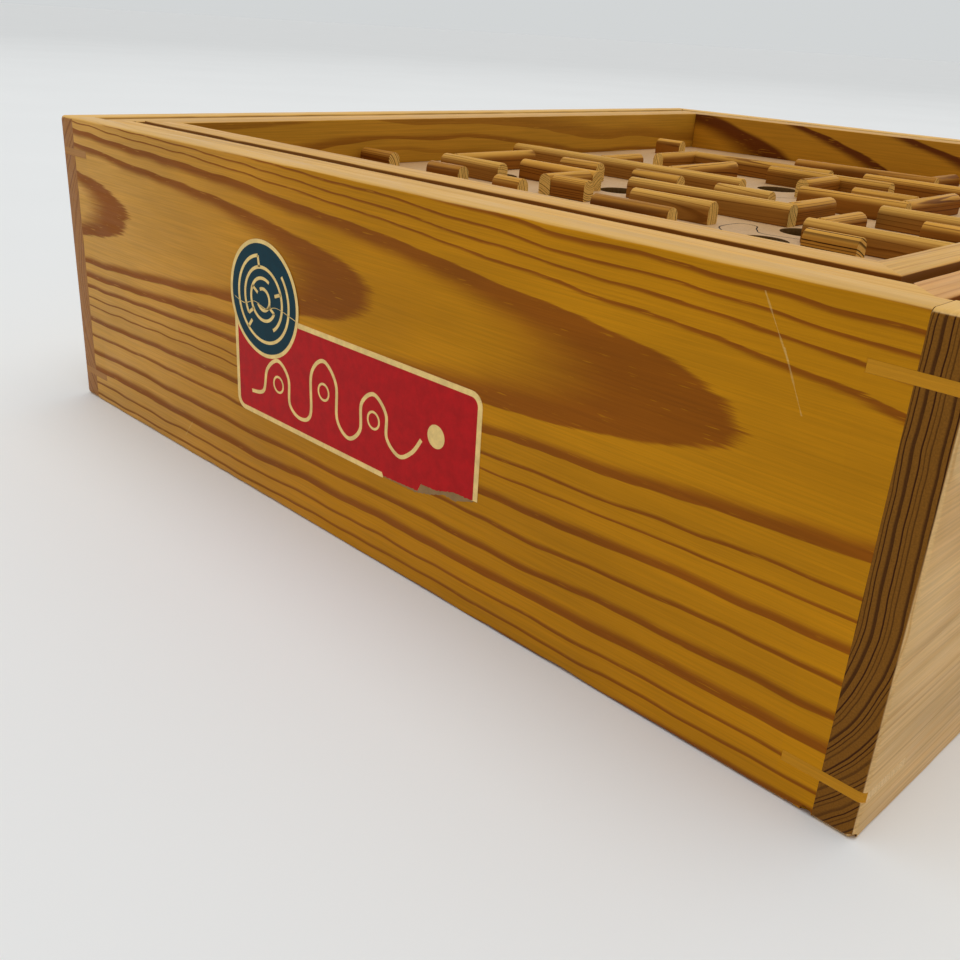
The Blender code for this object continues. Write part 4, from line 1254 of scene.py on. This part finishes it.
def build_cord_drive(name, shaft, along_x, body, drive, far_eye):
    """The cord round one shaft: an even winding, two runs up to the eyes, and the spring.

    The shaft lies along X or Y; across is measured from it, and along runs along it.
    """
    def at(across, z, along):
        return Vector((along, across, z)) if along_x else Vector((across, along, z))

    axis = 0 if along_x else 1
    shaft_z = middle_of(shaft).z
    line = middle_of(f"{name}_cord")[axis]
    reach = middle_of(far_eye)[1 - axis]
    slope = (span(far_eye)[0].z + EYE_R + EYE_WIRE - shaft_z) / reach

    width = WINDING_TURNS * WINDING_PITCH
    winding = []
    for t in spaced(0, 1, WINDING_TURNS * WINDING_STEPS):
        angle = pi / 2 - 2 * pi * WINDING_TURNS * t
        winding.append(at(-WINDING_R * cos(angle), shaft_z + WINDING_R * sin(angle),
                          line + (t - 0.5) * width))
    add_piece(f"{name}_cord_winding", tube(winding, CORD_R), "cord", drive, [f"{name}_cord"])

    spring_start, spring_end = reach - 20.0, reach - 4.5
    runs = {"left": (2.0 - reach, line - width / 2), "right": (spring_start, line + width / 2)}
    for side, (end, along) in runs.items():
        points = [
            at((1 - t) * end, shaft_z + WINDING_R * t + abs((1 - t) * end) * slope, along)
            for t in spaced(0, 1, RUN_STEPS)
        ]
        run = make_piece(f"{name}_cord_{side}_run", tube(points, CORD_R), "cord")
        if body == "frame":
            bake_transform(run)
        else:
            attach(run, body)

    coil = []
    for t in spaced(0, 1, SPRING_TURNS * SPRING_STEPS):
        across = spring_start + (spring_end - spring_start) * t
        angle = 2 * pi * SPRING_TURNS * t
        swell = SPRING_R * min(1.0, 6 * t + 0.15, 6 * (1 - t) + 0.15)
        coil.append(at(across, shaft_z + across * slope + swell * sin(angle),
                       line + width / 2 + swell * cos(angle)))
    add_piece(f"{name}_tension_spring", tube(coil, SPRING_WIRE, 8), "steel", body,
              [f"{name}_spring"])


def build_eyes():
    for name, body, along_x in (("frame_front_eye", "frame", True), ("frame_back_eye", "frame", True),
                                ("tray_left_eye", "tray", False), ("tray_right_eye", "tray", False)):
        low, high = span(name)
        x, y = middle_of(name).xy
        centre_z = low.z + EYE_R + EYE_WIRE
        points = [Vector((x, y, z)) for z in (high.z, high.z - 4, centre_z + EYE_R + 1.5)]
        for flat, z in arc(0, centre_z, EYE_R, 78, -262, 24):
            points.append(Vector((x, y + flat, z) if along_x else (x + flat, y, z)))
        add_piece(name + "_wire", tube(points, EYE_WIRE, 12), "steel", body, [name])


# ---------- stage
BRIGHT_SIDE = (0.42, 0.58, 0.70)  # where most of the room's light comes from
HORIZON = (0.645, 0.665, 0.67)
SKY = [(0.0, 0.34), (0.35, (0.46, 0.465, 0.465)), (0.62, HORIZON), (1.0, (0.68, 0.70, 0.71))]


def build_floor():
    """A pale paper floor, with painted shade that darkens it a little with distance."""
    bm = bmesh.new()
    bmesh.ops.create_grid(bm, x_segments=1, y_segments=1, size=40.0 / MM)
    floor = scene_object("floor", mesh_of("floor", bm))
    g = Graph("floor_paper")
    cloud = g.noise(0.004, 3.0)
    colour = g.ramp(cloud, [(0.3, (0.83, 0.84, 0.845)), (0.7, (0.85, 0.86, 0.865))])
    # painted shade: the floor darkens with distance from the middle, for the light falling off
    distance = g.vector("LENGTH", g.place()).outputs["Value"]
    colour = g.mix(g.ease(distance, 600.0, 5000.0, 0.0, 0.175), colour, (0.0, 0.0, 0.0))
    floor.data.materials.append(g.finish(colour, 0.7, Specular_IOR_Level=0.2))


def build_room():
    """Soft light from all round, brighter from one side, above a horizon that meets the floor."""
    world = bpy.data.worlds.new("studio")
    bpy.context.scene.world = world
    g = Graph("studio", world)
    direction = g.add("ShaderNodeTexCoord", {}).outputs["Generated"]
    sky = g.ramp(g.vector("DOT_PRODUCT", direction, BRIGHT_SIDE).outputs["Value"], SKY)
    colour = g.mix(g.ease(g.split(direction)[2], 0.01, 0.22), HORIZON, sky)
    g.put(g.tree.nodes["Background"].inputs["Color"], colour)


def build_lamp():
    """One broad, soft light overhead."""
    light = bpy.data.lights.new("soft_ceiling_light", "SUN")
    light.energy = 1.25
    light.angle = 0.95
    light.color = (1.0, 0.99, 0.97)
    lamp = scene_object("soft_ceiling_light", light)
    lamp.rotation_euler = Vector((0.06, 0.16, -1.0)).to_track_quat("-Z", "Y").to_euler()


def build_camera():
    """A wide lens close to the near corner, a little above the top."""
    data = bpy.data.cameras.new("camera")
    data.sensor_width = 36.0
    data.lens = 38.41
    data.clip_start = 0.01
    camera = scene_object("camera", data)
    right, up = Vector((0.71192, -0.69996, 0.05678)), Vector((0.24561, 0.32391, 0.91365))
    turn = Matrix((right, up, right.cross(up))).transposed().to_4x4()
    camera.matrix_world = Matrix.Translation((-0.3097, -0.1890, 0.1229)) @ turn
    bpy.context.scene.camera = camera
    bpy.context.scene.view_settings.view_transform = "Standard"


build_case()
build_frame()
build_tray()
build_board()
build_print()
build_maze()
build_label()
build_floor_parts()
build_cup()
build_ball()
build_drives()
build_cord_drive("frame", "side_shaft", True, "frame", "side_drive", "frame_back_eye")
build_cord_drive("tray", "front_shaft", False, "tray", "front_drive", "tray_right_eye")
build_eyes()
build_floor()
build_room()
build_lamp()
build_camera()
